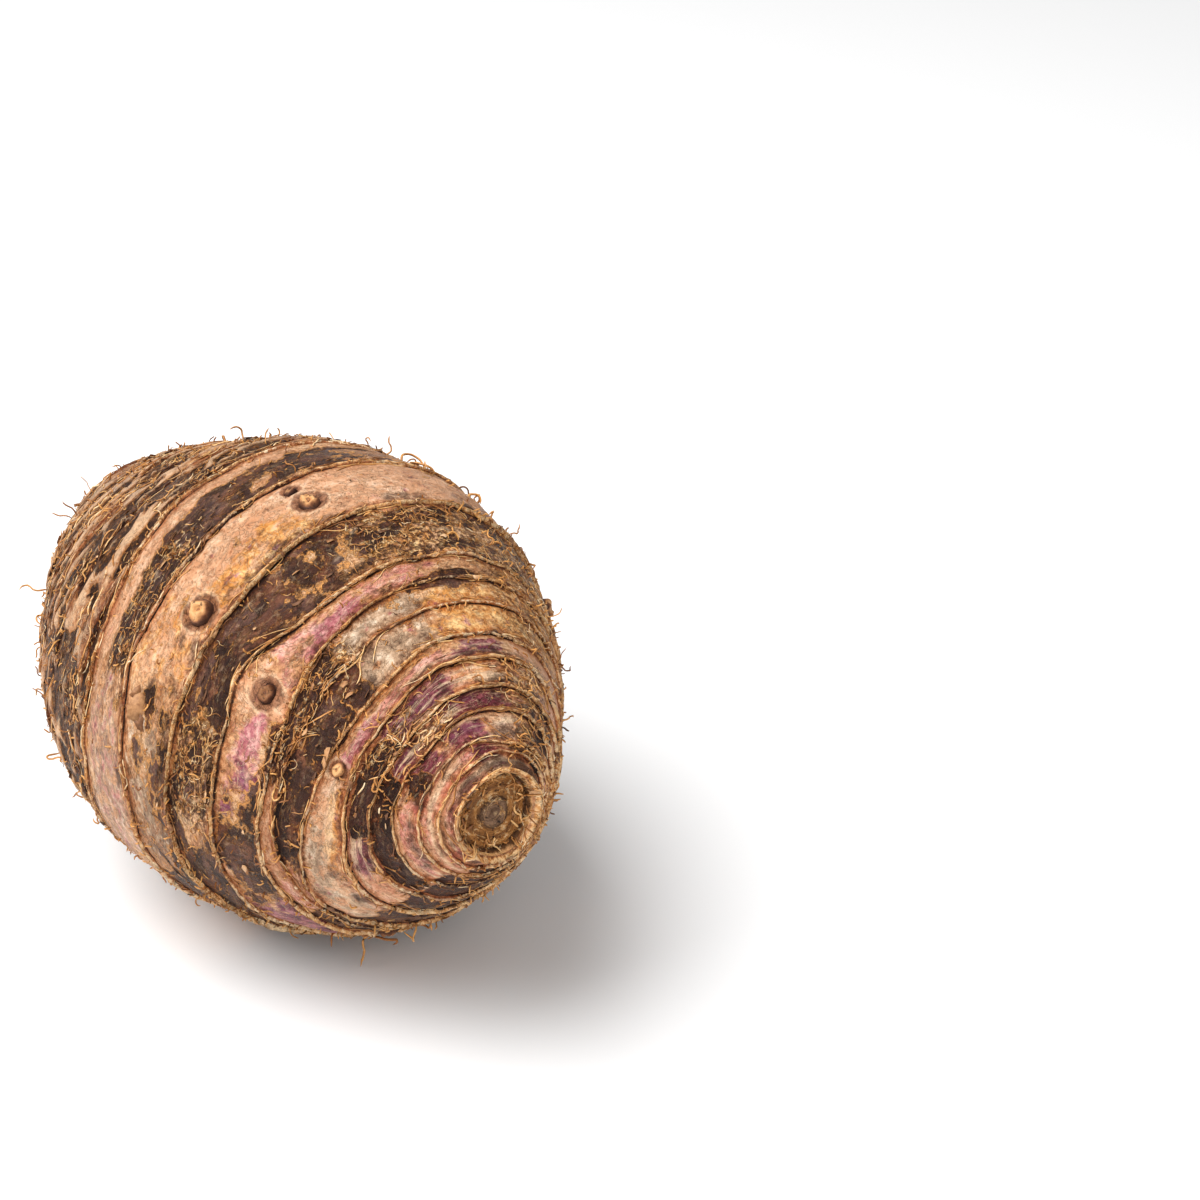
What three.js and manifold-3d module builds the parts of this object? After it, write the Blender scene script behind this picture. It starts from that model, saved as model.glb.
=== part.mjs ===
// A malanga root: one starchy corm, grown in one piece, lying on its side.
// It is an egg-like body ringed by leaf scars, with small eye buds between the rings, a
// sunken crown scar at the growing tip and a blunt scar where it broke off its parent.
//
// Millimetres. +X runs along the root towards the crown, +Z is up, and +Y is to the left of
// someone looking along +X. The origin is on the surface it rests on, under the middle of it.
// A place on the skin is given by its run, which is the distance over the skin from the base
// end, and its bearing, which is the angle round the axis from +Y towards +Z, in degrees.

import * as THREE from "three";
import { mergeVertices } from "three/addons/utils/BufferGeometryUtils.js";
import Module from "manifold-3d";

// ---- Driving dimensions ----

const LENGTH = 160; // of the whole egg form, before the ends are blunted
const GIRTH_RADII = [30.5, 34, 39.5, 44, 46, 46.5, 43, 37, 30]; // from base to crown, evenly spaced
const SAG_UP = 8.7; // how far the two ends curve up from the belly line
const SAG_SIDE = -1.5; // and to the side
const TIP_RISE_DEG = 2; // the axis points this far above the level
const FLAT_DEPTH = 1.3; // how deep the rested-on flat is pressed into the belly

// Each leaf scar's run at four bearings: 90 (top), 180, 270 (underside) and 0.
const SCARS = [
  [22, 28, 22, 20],
  [30, 38, 30, 28],
  [38, 48, 38, 36],
  [46, 58, 46, 44],
  [54, 68, 54, 52],
  [62, 77, 61, 60],
  [69.5, 85, 69, 68],
  [75, 93, 77, 75],
  [81, 101, 85, 83],
  [86, 106, 93, 89],
  [99, 117, 107, 102],
  [119, 127.8, 121, 121],
  [135.5, 138.6, 131, 136],
  [140.5, 148.6, 138, 142],
  [155.7, 157, 148, 156],
  [161, 164.8, 160, 162.5],
  [167.2, 169.4, 167.5, 168.5],
  [172.5, 174, 173.5, 174],
  [177.4, 178.8, 178.6, 179],
  [181.3, 182, 182, 182.6],
];
const BASE_SCAR_RUN = 13; // the rim of the broken end
const CROWN_RIM_RUN = 185.2; // the rim of the crown scar
const LIP_HEIGHT = 0.6; // a leaf scar's edge stands this proud
const LIP_OFFSET = 0.4; // and lies this far before the scar
const GROOVE_DEPTH = 0.35; // the groove just past the scar
const GROOVE_OFFSET = 0.8;

// The crown scar inside its rim: share of the rim's radius, and depth below the rim's plane.
const CROWN_FLOOR = [
  [0.84, 0.5],
  [0.74, 1.9],
  [0.45, 1.5],
  [0.34, 0.9],
  [0.15, 0.7],
];
const CROWN_CENTRE_DEPTH = 0.5;
// The broken base end: the same, with negative depths standing out of the rim's plane.
const BASE_FLOOR = [
  [0.8, -0.4],
  [0.5, -1.2],
  [0.25, -1.5],
];
const BASE_CENTRE_DEPTH = -1.6;

// Eye buds: run, bearing, radius and how far each stands out.
const BUDS = [
  [111, 93, 2.3, 1.5],
  [118, 132, 2.1, 1.6],
  [117, 157, 2.2, 1.4],
  [141, 140.5, 2.6, 1.9],
  [161.3, 153, 1.5, 1.2],
  [128, 22, 2.3, 1.6],
  [104, 338, 2.2, 1.5],
  [82, 214, 2.4, 1.6],
  [66, 48, 2.2, 1.5],
];

const COLUMNS = 48; // facets round the root
const PROFILE_STEPS = 800; // steps for measuring distances over the skin
const SLOPE_STEP = 0.002; // share of the length over which the profile's slope is taken
const BUD_FACETS = [12, 8]; // round a bud, and from its foot to its top

const SKIN_COLOUR = 0x94694a;

// ---- The egg form ----

// A smooth curve through the girth's radii.
const girth = new THREE.SplineCurve(GIRTH_RADII.map((radius, i) => new THREE.Vector2(i, radius)));

// The mean radius at a share of the length: rounded to a point at both ends.
function meanRadius(share) {
  const offset = 2 * share - 1;
  return girth.getPoint(share).y * Math.sqrt(Math.max(0, 1 - offset * offset));
}

// The section isn't round: it is a little oval and three-sided, and turns along the root.
function sectionFactor(share, bearing) {
  const offset = 2 * share - 1;
  return (
    1 +
    (0.016 - 0.052 * offset) * Math.cos(2 * bearing) +
    (0.017 - 0.015 * offset) * Math.sin(2 * bearing) -
    0.033 * Math.cos(3 * bearing) +
    0.016 * Math.sin(3 * bearing)
  );
}

// Distances over the skin from the base end, at evenly spaced shares of the length.
const runs = [0];
for (let i = 1; i <= PROFILE_STEPS; i++) {
  const [before, after] = [(i - 1) / PROFILE_STEPS, i / PROFILE_STEPS];
  const rise = meanRadius(after) - meanRadius(before);
  runs.push(runs[i - 1] + Math.hypot(LENGTH / PROFILE_STEPS, rise));
}

// The share of the length at which the distance over the skin is run.
function shareAtRun(run) {
  let i = 1;
  while (i < PROFILE_STEPS && runs[i] < run) i++;
  return (i - 1 + (run - runs[i - 1]) / (runs[i] - runs[i - 1])) / PROFILE_STEPS;
}

// A point on the egg form, moved out along the profile's normal by lift.
function skinPoint(run, bearing, lift) {
  const share = shareAtRun(run);
  const rise = meanRadius(share + SLOPE_STEP) - meanRadius(share - SLOPE_STEP);
  const slope = rise / (2 * SLOPE_STEP * LENGTH);
  const stretch = Math.hypot(1, slope);
  const radius = meanRadius(share) * sectionFactor(share, bearing) + lift / stretch;
  const along = (share - 0.5) * LENGTH - (lift * slope) / stretch;
  return place(along, radius, bearing, share);
}

// A point at a distance along the axis and a radius round it, on the sagging centre line.
function place(along, radius, bearing, share) {
  const sag = (2 * share - 1) ** 2;
  return new THREE.Vector3(
    along,
    radius * Math.cos(bearing) + SAG_SIDE * sag,
    radius * Math.sin(bearing) + SAG_UP * sag,
  );
}

// ---- Rows of points round the root ----

// A value given at bearings 90, 180, 270 and 0, eased from each to the next.
function compassValue([top, left, under, right], bearing) {
  const around = [right, top, left, under];
  const quarter = THREE.MathUtils.euclideanModulo(bearing / (Math.PI / 2), 4);
  const from = Math.floor(quarter);
  const ease = (1 - Math.cos((quarter - from) * Math.PI)) / 2;
  return THREE.MathUtils.lerp(around[from], around[(from + 1) % 4], ease);
}

// The rows of the skin, from base to crown. Each gives a point for a bearing. Every leaf scar
// has a row on its raised lip and one in the groove past it, and there is one between scars.
function skinRows() {
  const rows = [];
  const rings = [Array(4).fill(BASE_SCAR_RUN), ...SCARS];
  rings.forEach((ring, i) => {
    rows.push((b) => skinPoint(compassValue(ring, b) - LIP_OFFSET, b, LIP_HEIGHT));
    rows.push((b) => skinPoint(compassValue(ring, b) + GROOVE_OFFSET, b, -GROOVE_DEPTH));
    if (i + 1 < rings.length) {
      const next = rings[i + 1];
      rows.push((b) => skinPoint((compassValue(ring, b) + compassValue(next, b)) / 2, b, 0));
    }
  });
  rows.push((b) => skinPoint(CROWN_RIM_RUN, b, LIP_HEIGHT));
  return rows;
}

// Rings of an end scar, drawn in from its rim. Outward is 1 at the crown and -1 at the base.
function scarFloor(rimRun, floor, outward) {
  const share = shareAtRun(rimRun);
  return floor.map(([part, depth]) => (b) => {
    const radius = meanRadius(share) * sectionFactor(share, b) * part;
    return place((share - 0.5) * LENGTH - depth * outward, radius, b, share);
  });
}

// The middle point of an end scar.
function scarCentre(rimRun, depth, outward) {
  const share = shareAtRun(rimRun);
  return place((share - 0.5) * LENGTH - depth * outward, 0, 0, share);
}

// ---- The closed body ----

function bodyGeometry() {
  const rows = [
    ...scarFloor(BASE_SCAR_RUN, BASE_FLOOR, -1).reverse(),
    ...skinRows(),
    ...scarFloor(CROWN_RIM_RUN, CROWN_FLOOR, 1),
  ];
  const positions = [];
  for (const row of rows)
    for (let column = 0; column < COLUMNS; column++)
      positions.push(...row((column / COLUMNS) * 2 * Math.PI));
  positions.push(...scarCentre(BASE_SCAR_RUN, BASE_CENTRE_DEPTH, -1));
  positions.push(...scarCentre(CROWN_RIM_RUN, CROWN_CENTRE_DEPTH, 1));

  const baseCentre = rows.length * COLUMNS;
  const crownCentre = baseCentre + 1;
  const lastRow = (rows.length - 1) * COLUMNS;
  const faces = [];
  for (let column = 0; column < COLUMNS; column++) {
    const next = (column + 1) % COLUMNS;
    faces.push(baseCentre, next, column);
    faces.push(crownCentre, lastRow + column, lastRow + next);
    for (let row = 0; row + 1 < rows.length; row++) {
      const [a, b] = [row * COLUMNS + column, row * COLUMNS + next];
      const [c, d] = [a + COLUMNS, b + COLUMNS];
      faces.push(a, b, c, b, d, c);
    }
  }
  const geometry = new THREE.BufferGeometry();
  geometry.setAttribute("position", new THREE.Float32BufferAttribute(positions, 3));
  geometry.setIndex(faces);
  return geometry;
}

// An eye bud: a low dome, sunk to half its height in the skin and facing out of it.
function budGeometry([run, bearingDeg, radius, height]) {
  const bearing = THREE.MathUtils.degToRad(bearingDeg);
  const foot = skinPoint(run, bearing, 0);
  const outward = skinPoint(run, bearing, 1).sub(foot).normalize();
  const geometry = new THREE.SphereGeometry(1, ...BUD_FACETS);
  geometry.scale(radius, radius, height);
  const turn = new THREE.Quaternion().setFromUnitVectors(new THREE.Vector3(0, 0, 1), outward);
  geometry.applyQuaternion(turn);
  geometry.translate(foot.x, foot.y, foot.z);
  return geometry;
}

// ---- Joining and cutting ----

const wasm = await Module();
wasm.setup();

function solidFrom(geometry) {
  geometry.deleteAttribute("normal");
  geometry.deleteAttribute("uv");
  const merged = mergeVertices(geometry, 1e-4);
  return new wasm.Manifold(
    new wasm.Mesh({
      numProp: 3,
      vertProperties: merged.attributes.position.array,
      triVerts: new Uint32Array(merged.index.array),
    }),
  );
}

function geometryFrom(solid) {
  const mesh = solid.getMesh();
  const geometry = new THREE.BufferGeometry();
  geometry.setAttribute("position", new THREE.BufferAttribute(mesh.vertProperties, 3));
  geometry.setIndex(new THREE.BufferAttribute(mesh.triVerts, 1));
  return geometry;
}

// The corm with its buds, tipped to its resting angle, with its underside pressed flat.
function cormGeometry() {
  let solid = solidFrom(bodyGeometry());
  for (const bud of BUDS) solid = solid.add(solidFrom(budGeometry(bud)));
  const tipped = geometryFrom(solid).rotateY(THREE.MathUtils.degToRad(-TIP_RISE_DEG));
  tipped.computeBoundingBox();
  const floor = tipped.boundingBox.min.z + FLAT_DEPTH;
  const slab = new THREE.BoxGeometry(2 * LENGTH, 2 * LENGTH, LENGTH);
  slab.translate(0, 0, floor - LENGTH / 2);
  return geometryFrom(solidFrom(tipped).subtract(solidFrom(slab)));
}

// ---- The part ----

function malangaRoot() {
  const geometry = cormGeometry();
  geometry.computeVertexNormals();
  const material = new THREE.MeshStandardMaterial({
    color: SKIN_COLOUR,
    roughness: 0.85,
    metalness: 0,
  });
  const mesh = new THREE.Mesh(geometry, material);
  mesh.name = "malanga_root";
  geometry.computeBoundingBox();
  const box = geometry.boundingBox;
  const middle = box.getCenter(new THREE.Vector3());
  mesh.position.set(-middle.x, -middle.y, -box.min.z);
  return mesh;
}

const part = new THREE.Group();
part.add(malangaRoot());

export default part;
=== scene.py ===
# %% [markdown]
# A malanga root in Blender
#
# A malanga root is a corm: a swollen underground stem that grew in one piece. Its skin is what
# makes it a malanga. Old leaf bases ringed the stem one after another and rotted away, and each
# left a raised, torn edge. Between those rings the dry skin is tan, flaked to a dark crust, or
# tinted pink and purple, and fine fibres and hairs lie over all of it.
#
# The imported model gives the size, the place and the resting pose. This script lays a finely
# made skin over it, and then adds the fibres, hairs, flakes and buds as meshes of their own.

import bpy
import numpy as np
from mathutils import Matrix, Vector, noise


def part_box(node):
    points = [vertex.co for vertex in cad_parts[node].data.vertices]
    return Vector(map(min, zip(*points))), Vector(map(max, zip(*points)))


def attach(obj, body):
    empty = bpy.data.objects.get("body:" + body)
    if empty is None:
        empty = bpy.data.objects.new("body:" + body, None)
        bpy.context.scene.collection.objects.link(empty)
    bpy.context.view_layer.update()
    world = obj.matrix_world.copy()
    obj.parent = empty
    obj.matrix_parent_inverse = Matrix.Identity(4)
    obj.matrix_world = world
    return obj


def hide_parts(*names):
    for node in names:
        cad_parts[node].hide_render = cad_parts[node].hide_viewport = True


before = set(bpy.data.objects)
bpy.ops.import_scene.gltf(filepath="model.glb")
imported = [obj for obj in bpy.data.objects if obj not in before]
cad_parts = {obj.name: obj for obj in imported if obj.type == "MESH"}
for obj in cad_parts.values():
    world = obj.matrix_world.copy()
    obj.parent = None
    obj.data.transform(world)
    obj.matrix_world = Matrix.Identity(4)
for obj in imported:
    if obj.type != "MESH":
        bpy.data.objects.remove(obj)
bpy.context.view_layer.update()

root_low, root_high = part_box("malanga_root")
MM = 0.001
print("packed root, mm:", [round(size / MM, 1) for size in root_high - root_low])

# %% [markdown]
# The egg form
#
# The real root is an egg that is blunt at both ends, a little oval, a little three-sided and
# slightly bent. One way to make it is to sculpt a sphere. Here it is a formula, because every
# later step has to know where a place on the skin is. A place is given by its run, which is
# the distance over the skin from the base end in millimetres, and by its bearing, which is the
# angle round the axis in degrees: 0 is left, 90 is the top and 180 is right, seen from the base
# towards the crown.

# %% The egg form
LENGTH = 160.0
GIRTH_RADII = [30.5, 34, 39.5, 44, 46, 46.5, 43, 37, 30]
SAG_UP = 8.7
SAG_SIDE = -1.5
TIP_RISE = np.radians(2)
FLAT_DEPTH = 1.3
FLAT_LEVEL = 0.05
PROFILE_STEPS = 800
SLOPE_STEP = 0.002


def mean_radius(share):
    """The radius at a share of the length, along a smooth curve through the girth's radii."""
    spaced = np.clip(share, 0, 1) * (len(GIRTH_RADII) - 1)
    low = np.clip(spaced.astype(int), 0, len(GIRTH_RADII) - 2)
    part = spaced - low
    radii = np.array([GIRTH_RADII[0], *GIRTH_RADII, GIRTH_RADII[-1]])
    a, b, c, d = (radii[low + i] for i in range(4))
    bend = 2 * a - 5 * b + 4 * c - d + part * (3 * (b - c) + d - a)
    curve = b + part / 2 * (c - a + part * bend)
    return curve * np.sqrt(np.clip(1 - (2 * share - 1) ** 2, 0, 1))


def section_factor(share, angle):
    """How far the section is from round, at an angle in radians."""
    offset = 2 * share - 1
    oval = (0.016 - 0.052 * offset) * np.cos(2 * angle) + (0.017 - 0.015 * offset) * np.sin(2 * angle)
    return 1 + oval - 0.033 * np.cos(3 * angle) + 0.016 * np.sin(3 * angle)


profile_share = np.linspace(0, 1, PROFILE_STEPS + 1)
profile_steps = np.hypot(np.diff(profile_share) * LENGTH, np.diff(mean_radius(profile_share)))
profile_run = np.append(0, np.cumsum(profile_steps))


def place(along, radius, angle, share):
    """Points at a distance along the axis and a radius round it, with the axis bent and tipped."""
    sag = (2 * share - 1) ** 2
    left = radius * np.cos(angle) + SAG_SIDE * sag
    up = radius * np.sin(angle) + SAG_UP * sag
    tipped_along = along * np.cos(TIP_RISE) - up * np.sin(TIP_RISE)
    tipped_up = along * np.sin(TIP_RISE) + up * np.cos(TIP_RISE)
    return np.stack(np.broadcast_arrays(tipped_along, left, tipped_up), axis=-1)


def form_points(run, angle, lift):
    """Points on the egg form, moved out along the profile's normal by lift."""
    share = np.interp(run, profile_run, profile_share)
    rise = mean_radius(share + SLOPE_STEP) - mean_radius(share - SLOPE_STEP)
    slope = rise / (2 * SLOPE_STEP * LENGTH)
    stretch = np.hypot(1, slope)
    radius = mean_radius(share) * section_factor(share, angle) + lift / stretch
    return place((share - 0.5) * LENGTH - lift * slope / stretch, radius, angle, share)


print("distance over the skin from end to end, mm:", round(profile_run[-1], 1))

# %% [markdown]
# Leaf scars
#
# Each leaf scar is a line right round the root, and none is quite level. A line needs only the
# few bearings where it turns, so each is written as bearing: run, and the script eases the
# line between them. The first number is how proud its lip stands. Near the base the scars are
# close and alike, and all turn away from the base on the right, so a loop makes those. A little
# seeded noise gives every line its wobble.

# %% The leaf scars' lines
COLUMNS = 360
BASE_RIM_RUN = 13.0
CROWN_RIM_RUN = 185.6
BASE_SCARS = 6
BASE_SCAR_LIP = 0.22
FIRST_BASE_SCAR = 20
BASE_SCARS_REACH = 56
LEAST_TURN = 8
GROWING_TURN = 12.5

dice = np.random.default_rng(7)
bearings = np.arange(COLUMNS)
angles = np.radians(bearings)

base_scars = []
for step in np.linspace(0, 1, BASE_SCARS):
    top = FIRST_BASE_SCAR + BASE_SCARS_REACH * step + dice.uniform(-1.5, 1.5)
    turn = LEAST_TURN + GROWING_TURN * step
    line = {0: top - 1, 90: top, 180: top + turn, 270: top}
    line.update({120: top + 0.3 * turn, 150: top + 0.85 * turn})
    base_scars.append((BASE_SCAR_LIP, line))

SCARS = [
    # lip height, {bearing: run}
    (0.5, {0: BASE_RIM_RUN}),
    *base_scars,
    (0.45, {0: 83, 80: 81, 120: 84, 131: 88.5, 148: 97, 160: 100, 177: 102, 270: 85}),
    (0.4, {0: 102, 80: 99.5, 110: 99.5, 130: 105.5, 150: 110, 169: 115, 185: 117, 270: 107}),
    (0.75, {0: 121, 72: 120, 95: 119, 120: 122, 150: 126, 170: 128, 191: 127, 270: 121}),
    (0.5, {0: 136, 90: 135.6, 119: 136.6, 137: 131.8, 150: 137, 175: 138.5, 220: 132.4, 270: 131}),
    (0.5, {0: 142, 94: 141.7, 125: 144.4, 147: 147.7, 170: 148.6, 191: 146, 270: 138}),
    (0.3, {0: 148, 98: 148.4, 130: 150.4, 160: 152, 191: 150, 270: 143}),
    (0.4, {0: 156, 92: 155.8, 112: 158, 135: 159, 170: 158, 191: 155, 220: 149, 270: 148}),
    (0.5, {0: 162.5, 90: 161.1, 121: 163.4, 140: 164, 180: 164.6, 230: 160, 270: 159}),
    (0.4, {0: 168.5, 90: 168, 124: 169.3, 141: 169.9, 181: 169.4, 225: 167.4, 270: 167.5}),
    (0.4, {0: 174, 97: 172.7, 119: 173.6, 200: 174, 270: 173.5}),
    (0.35, {0: 179, 70: 180, 99: 177.6, 124: 178.5, 200: 178.8}),
    (0.25, {0: 182.6, 90: 181.7, 180: 182.2}),
    (0.7, {0: CROWN_RIM_RUN}),
]
lip_heights = [lip for lip, line in SCARS]
print("highest and lowest lip, mm:", max(lip_heights), min(lip_heights))

# %% The lines eased and wobbled
WOBBLE = 0.55
RIM_WOBBLE = 0.3
LEAST_SPACE = 1.7
EASE_DEGREES = 7


def eased_round(line):
    """A line's run at every bearing, eased between the bearings that are given."""
    known = sorted(line)
    run = np.interp(bearings, known, [line[bearing] for bearing in known], period=360)
    shifts = range(-EASE_DEGREES, EASE_DEGREES + 1)
    for _ in range(2):
        run = np.mean([np.roll(run, shift) for shift in shifts], axis=0)
    return run


def noise_at(points, size, seed=0):
    """Smooth noise from -1 to 1 at each point. Its lumps are about the given size across."""
    shift = Vector((seed * 17.3, seed * 5.1, seed * 9.7))
    flat = np.asarray(points).reshape(-1, 3) / size
    values = np.fromiter((noise.noise(Vector(point) + shift) for point in flat), float, len(flat))
    return values.reshape(np.shape(points)[:-1])


scar_lines = []
for number, (lip, line) in enumerate(SCARS):
    run = eased_round(line)
    on_form = form_points(run, angles, 0)
    wobble = noise_at(on_form, 9, number) + 0.6 * noise_at(on_form, 3.1, number)
    is_rim = number in (0, len(SCARS) - 1)
    scar_lines.append(run + wobble * WOBBLE * (RIM_WOBBLE if is_rim else 1))
for number in range(1, len(scar_lines)):
    least = scar_lines[number - 1] + LEAST_SPACE
    scar_lines[number] = np.maximum(scar_lines[number], least)
print("leaf scars:", len(scar_lines))

# %% [markdown]
# Rows of the skin
#
# A plain grid would cut across the leaf scars and blur them. Here the rows of the mesh follow the
# scars, so that each lip and the groove under it get rows of their own, and the wide bands between them
# get evenly spaced rows. A lip's edge hangs a little over its groove and shades it, and the material
# paints more shade into the groove. Together they draw the thin dark line under every scar.

# %% Rows that follow the scars
LIP_ROWS = [(-0.55, 0.1), (-0.27, 0.65), (-0.06, 1.0), (0.12, 0.6)]
GROOVE_ROWS = [(0.05, -0.3), (0.28, -0.3), (0.68, -0.06)]
ROW_SPACE = 1.19
SHINGLE_RISE = 0.6


def band_rows(number):
    """The rows from just past one scar to the lip of the next: place in the band, lip, groove."""
    width = np.mean(scar_lines[number + 1] - scar_lines[number])
    first = GROOVE_ROWS[-1][0]
    last = width + LIP_ROWS[0][0]
    between = max(0, round((last - first) / ROW_SPACE) - 1)
    middles = np.linspace(first, last, between + 2)[1:-1]
    rows = [(offset / width, 0.0, lift) for offset, lift in GROOVE_ROWS]
    rows += [(offset / width, 0.0, 0.0) for offset in middles]
    rows += [((width + offset) / width, lift, 0.0) for offset, lift in LIP_ROWS]
    return rows


rows = [(number, *row) for number in range(len(scar_lines) - 1) for row in band_rows(number)]
row_ring = np.array([number + part for number, part, lip, groove in rows])
row_lip = np.array([lip for number, part, lip, groove in rows])
row_groove = np.array([groove for number, part, lip, groove in rows])
skin_run = np.array([
    scar_lines[number] * (1 - part) + scar_lines[number + 1] * part
    for number, part, lip, groove in rows
])
lines = np.array(scar_lines)
scar_gap = np.abs(skin_run[:, None] - lines[None]).min(axis=1)
print("rows of the skin:", len(rows))

# %% [markdown]
# Where the skin changes
#
# Seven finishes meet on the skin: dark crust, pale bare skin, pink bloom, a deeper rose, purple wine,
# yellow ochre and grey paper. An eighth kind, tangle, is where fibres lie thick. Each has a map over
# the skin that says how much of it there is. The patches that make this root what it is are listed one
# by one, by ring number and bearing. Round the back a seeded loop lays more of the same kinds. The maps
# stay soft, and the material tears their edges finely, so the mesh doesn't need to carry that detail.

# %% Patches of finish
PATCHES = {
    # kind: (from ring, to ring, from bearing, to bearing, strength)
    "crust": [
        (7.32, 8.0, 95, 125, 1.0), (7.36, 8.0, 125, 157, 0.9), (7.3, 7.9, 66, 94, 0.7),
        (8.43, 8.62, 155.5, 162.5, 1.0), (8.3, 8.9, 161, 178, 0.34), (9.0, 9.97, 83, 114, 0.6),
        (9.0, 9.97, 110, 156, 0.76), (9.03, 9.45, 60, 86, 0.6), (9.0, 10.0, 154, 178, 0.6),
        (10.1, 11.0, 171, 216, 0.72), (11.05, 12.0, 118, 165, 1.0), (12.0, 12.98, 118, 196, 1.0),
        (14.15, 15.0, 132, 188, 0.9), (15.05, 16.0, 146, 240, 0.95), (16.15, 17.0, 134, 162, 0.6),
        (8.05, 9.0, 206, 256, 0.8), (9.05, 10.0, 192, 262, 0.85), (11.1, 12.95, 226, 274, 0.85),
        (13.05, 15.0, 238, 286, 0.9), (15.05, 16.9, 236, 290, 0.9), (9.05, 10.0, 20, 58, 0.52),
        (15.05, 18.95, 24, 60, 0.46),
    ],
    "bare": [
        (7.0, 7.34, 84, 158, 1.0), (7.15, 8.0, 159, 202, 0.9), (8.0, 9.0, 56, 152, 1.0),
        (10.05, 11.0, 131, 152, 0.9), (11.1, 11.95, 166, 201, 0.85), (13.84, 14.0, 84, 152, 1.0),
        (13.0, 14.0, 155, 240, 0.9), (14.08, 14.9, 62, 96, 0.75), (14.1, 14.95, 204, 238, 0.7),
        (17.1, 19.0, 98, 250, 0.95), (16.1, 17.0, 158, 250, 0.9), (13.05, 15.0, 16, 58, 0.8),
    ],
    "bloom": [
        (10.2, 10.98, 100, 132, 0.6), (10.05, 10.9, 76, 104, 0.62), (10.2, 10.8, 150, 166, 0.75),
        (12.2, 12.95, 197, 226, 0.7), (13.3, 13.86, 79, 151, 0.7), (17.05, 18.0, 98, 150, 0.5),
        (16.1, 19.0, 104, 236, 0.46), (7.1, 7.9, 160, 205, 0.36), (11.15, 12.0, 203, 224, 0.7),
    ],
    "rose": [
        (10.4, 10.98, 102, 123, 0.95), (10.25, 10.8, 150, 164, 0.8), (13.3, 13.86, 126, 151, 0.9),
        (17.2, 17.85, 82, 102, 0.55),
    ],
    "wine": [
        (10.1, 10.9, 162, 176, 0.6), (13.15, 13.9, 60, 84, 0.78), (14.12, 14.98, 94, 134, 0.95),
        (14.1, 15.0, 178, 206, 0.85), (15.05, 15.98, 66, 106, 0.98), (15.1, 15.95, 126, 152, 0.85),
        (16.05, 16.98, 82, 114, 0.98), (16.1, 16.98, 118, 152, 0.85), (17.05, 17.95, 70, 104, 0.82),
        (18.0, 18.95, 72, 98, 0.98), (10.05, 11.0, 214, 262, 0.85),
    ],
    "ochre": [
        (8.5, 8.9, 96, 112, 0.9), (8.55, 8.95, 108, 137, 0.7), (8.05, 8.95, 130, 156, 0.48),
        (9.45, 9.95, 62, 90, 0.55), (11.3, 12.95, 50, 85, 0.95), (13.0, 13.5, 78, 138, 0.5),
        (13.55, 13.98, 158, 206, 0.7), (14.1, 14.95, 60, 86, 0.55), (10.1, 12.9, 20, 58, 1.0),
    ],
    "paper": [
        (11.08, 11.95, 82, 118, 1.0), (12.0, 12.95, 84, 117, 1.0), (12.5, 12.95, 140, 153, 0.9),
        (13.05, 13.6, 168, 216, 0.66), (16.1, 16.9, 62, 80, 0.75), (16.1, 16.85, 110, 119, 0.8),
        (8.1, 8.9, 158, 200, 0.52), (7.05, 7.95, 158, 205, 0.6), (6.1, 6.95, 120, 200, 0.5),
        (13.1, 13.9, 214, 240, 0.55),
    ],
    "tangle": [
        (7.4, 8.0, 118, 157, 1.0), (9.0, 10.0, 56, 92, 1.0), (9.0, 10.0, 154, 184, 1.0),
        (11.0, 12.2, 112, 168, 0.9), (14.15, 14.98, 112, 152, 0.75), (15.05, 15.95, 100, 130, 0.85),
        (9.0, 12.9, 26, 58, 0.75), (13.8, 17.9, 34, 66, 0.7),
    ],
}
SOFT_RINGS = 0.07
SOFT_DEGREES = {"crust": 6, "tangle": 6}
SOFTEST_DEGREES = 9
VIEW_SIDE = (22, 262)
HIDDEN_PATCHES = 58
HIDDEN_SHARES = [0.36, 0.2, 0.07, 0.03, 0.06, 0.07, 0.09, 0.12]


def hidden_patch():
    """A kind and a patch by chance, on the side that the patches above leave out."""
    kind = dice.choice(list(PATCHES), p=HIDDEN_SHARES)
    ring = dice.integers(6, 19)
    start = dice.uniform(0, 0.4)
    half = dice.uniform(10, 34)
    middle = dice.uniform(VIEW_SIDE[1] + half, VIEW_SIDE[0] + 360 - half)
    strength = dice.uniform(0.6, 1)
    return kind, (ring + start, ring + dice.uniform(0.7, 1), middle - half, middle + half, strength)


def step_up(value):
    """Eases from 0 to 1 as the value goes from -1 to 1."""
    value = np.clip(value / 2 + 0.5, 0, 1)
    return value * value * (3 - 2 * value)


def patch_map(kind, patch, ring, bearing):
    """How strongly a patch covers each place, from 0 to its strength."""
    ring_from, ring_to, bearing_from, bearing_to, strength = patch
    across = step_up((ring - ring_from) / SOFT_RINGS) * step_up((ring_to - ring) / SOFT_RINGS)
    middle = (bearing_from + bearing_to) / 2
    off = np.abs((bearing - middle + 180) % 360 - 180)
    along = step_up(((bearing_to - bearing_from) / 2 - off) / SOFT_DEGREES.get(kind, SOFTEST_DEGREES))
    return strength * across * along


for _ in range(HIDDEN_PATCHES):
    kind, patch = hidden_patch()
    PATCHES[kind].append(patch)
print("patches:", {kind: len(patches) for kind, patches in PATCHES.items()})

# %% [markdown]
# From patches to maps
#
# On the real skin no border runs straight, so the rings and bearings that the patches are drawn
# by are first bent with noise. Near the base the skin is braided: pale ridges part and join again
# round dark gaps. Patches can't give that, but the edges of a cell pattern drawn out along the
# rings can, because they meet and part in the same way.

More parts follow.
